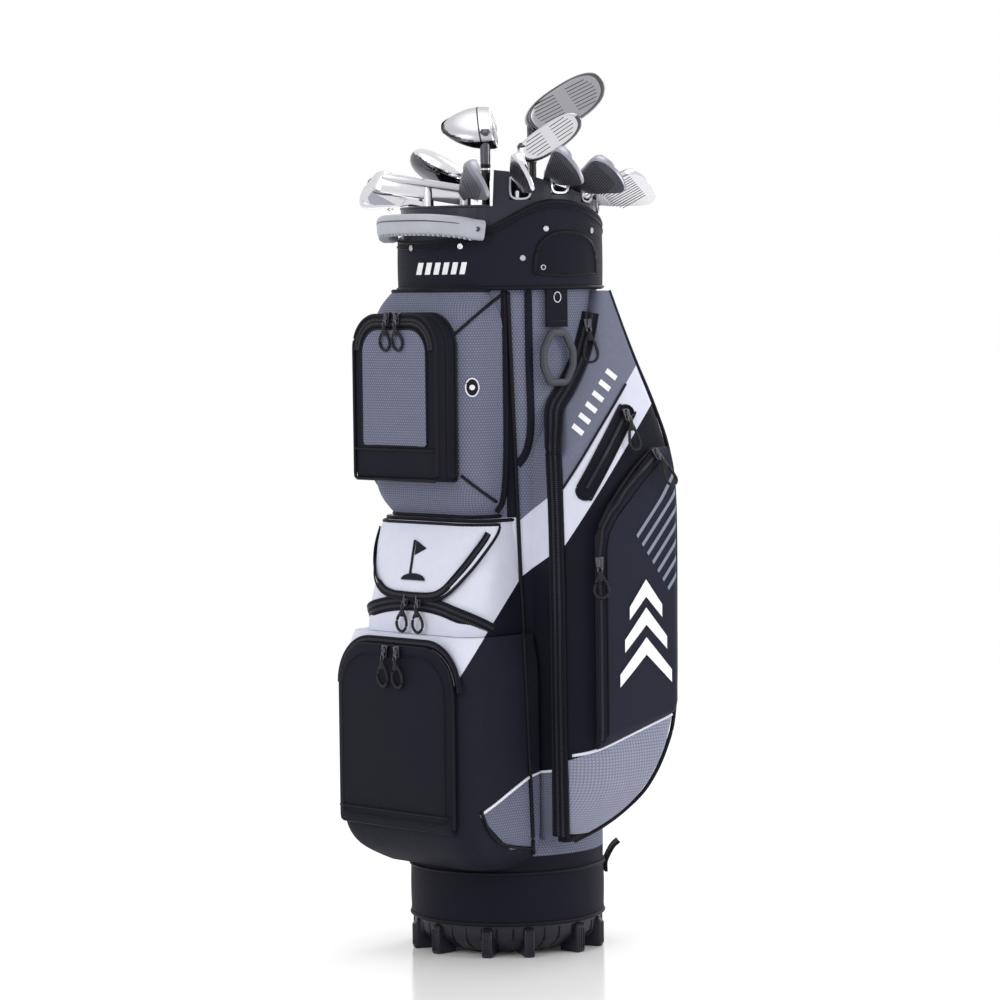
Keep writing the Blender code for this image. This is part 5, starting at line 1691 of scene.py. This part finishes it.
def putter(name, place):
    blade = rounded_block((0.104, 0.008, 0.024), (0.004, 0, -0.004))
    in_club(name, "blade", blade, place, "steel", head_slot(name), node=name + "_head")
    for suffix, size, centre, r, finish in (
            ("flange", (0.098, 0.022, 0.008), (0.004, 0.012, 0.003), 0.0022, "satin"),
            ("insert", (0.062, 0.0008, 0.016), (0.004, -0.0042, -0.004), 0.0003, "dark_steel"),
            ("aim_line", (0.0012, 0.020, 0.0004), (0.004, 0.012, 0.0071), 0.0001, "groove")):
        in_club(name, suffix, rounded_block(size, centre, r), place, finish)
    hosel = [(0.0040, 0.0), (0.0060, -0.001), (0.0065, -0.008), (0.0062, -0.040), (0.0060, -0.0495),
             (0.0050, -0.0498)]
    in_club(name, "hosel", turned(hosel), place, "steel", smooth=40)


def shaft_and_grip(name, place, length, neck, steel):
    """A club's shaft with its ferrule, and its grip; a steel shaft is stepped and banded."""
    top, low = -neck, -length + 0.004

    def around_shaft(suffix, profile, finish, slot, **more):
        in_club(name, suffix, turned(profile, 24), place, finish, slot, **more)

    profile = [(0.0003, top - 0.0004)]
    count = 15 if steel else 3
    for i in range(count + 1):
        share = i / count
        r, z = 0.0047 + 0.0027 * share, top - 0.001 + (low + 0.002 - top) * share
        profile.append((r, z))
        if steel and 0 < i < count:
            profile.append((r + 0.00016, z - 0.0006))
    looks = ("shaft", "steel_shaft") if steel else ("graphite", "graphite")
    around_shaft("shaft_tube", profile + [(0.0003, low)], *looks, node=name + "_shaft")
    ferrule = [(0.0049, top + 0.0006), (0.0063, top + 0.0002), (0.0063, top - 0.003), (0.0060, top - 0.0035),
               (0.0061, top - 0.0045), (0.0055, top - 0.014), (0.0052, top - 0.020), (0.0046, top - 0.0202)]
    around_shaft("ferrule", ferrule, "graphite", "graphite")
    ring = [(0.0050, top - 0.0046), (0.00635, top - 0.0048), (0.00630, top - 0.0066), (0.0050, top - 0.0068)]
    around_shaft("ferrule_ring", ring, "steel", "polished_steel")
    if steel:
        label = [(0.0040, top - 0.080), (0.0053, top - 0.0801), (0.00545, top - 0.118),
                 (0.0040, top - 0.1181)]
        around_shaft("shaft_band", label, "graphite", "graphite")
    mouth, end = -length + 0.265, 0.0132
    start = 0.0047 + 0.0027 * ((top - mouth) / (top - low))
    lip = start + 0.0024
    profile = [(start + 0.0002, mouth), (start + 0.0020, mouth - 0.0004), (lip, mouth - 0.004)]
    for i in range(36):
        share = (i + 1) / 37
        r, z = lip + (end * 0.95 - lip) * share**0.8, mouth - 0.004 - 0.243 * share
        profile += [(r, z), (r - 0.00045, z - 0.0008), (r - 0.00045, z - 0.0020), (r + 0.0001, z - 0.0028)]
    profile += [(end, 0.010 - length), (end, 0.003 - length), (end * 0.93, 0.0005 - length),
                (0.0030, -length), (0.0020, 0.0008 - length), (0.0003, 0.0008 - length)]
    around_shaft("grip_sleeve", profile, "rubber", "grip_rubber", node=name + "_grip", smooth=50)


def clubs():
    for name, (kind, _, size) in CLUBS.items():
        place, length = club_matrix(name)
        if kind == "wood":
            wood(name, place, size, *WOOD_LOOKS[name])
        elif kind == "putter":
            putter(name, place)
        elif name in DARK_IRONS:
            iron(name, place, size, "dark_steel", 14)
        else:
            iron(name, place, size, "steel", 11)
        shaft_and_grip(name, place, length, NECK[kind], kind != "wood")


studio()
tube()
base()
cuff()
ball_pocket()
cooler_pocket()
upper_pocket()
side_pocket()
door = side_door()
left_pocket()
skins = surface(SKINS)
bag_trims(skins)
ball_trims()
cooler_trims()
pouch_trims()
badge(skins)
side_trims(skins)
left_trims()
door_trims(door)
handle()
ring_and_tab()
straps()
lift_loop()
cuff_trims(skins)
clubs()
top_trims()
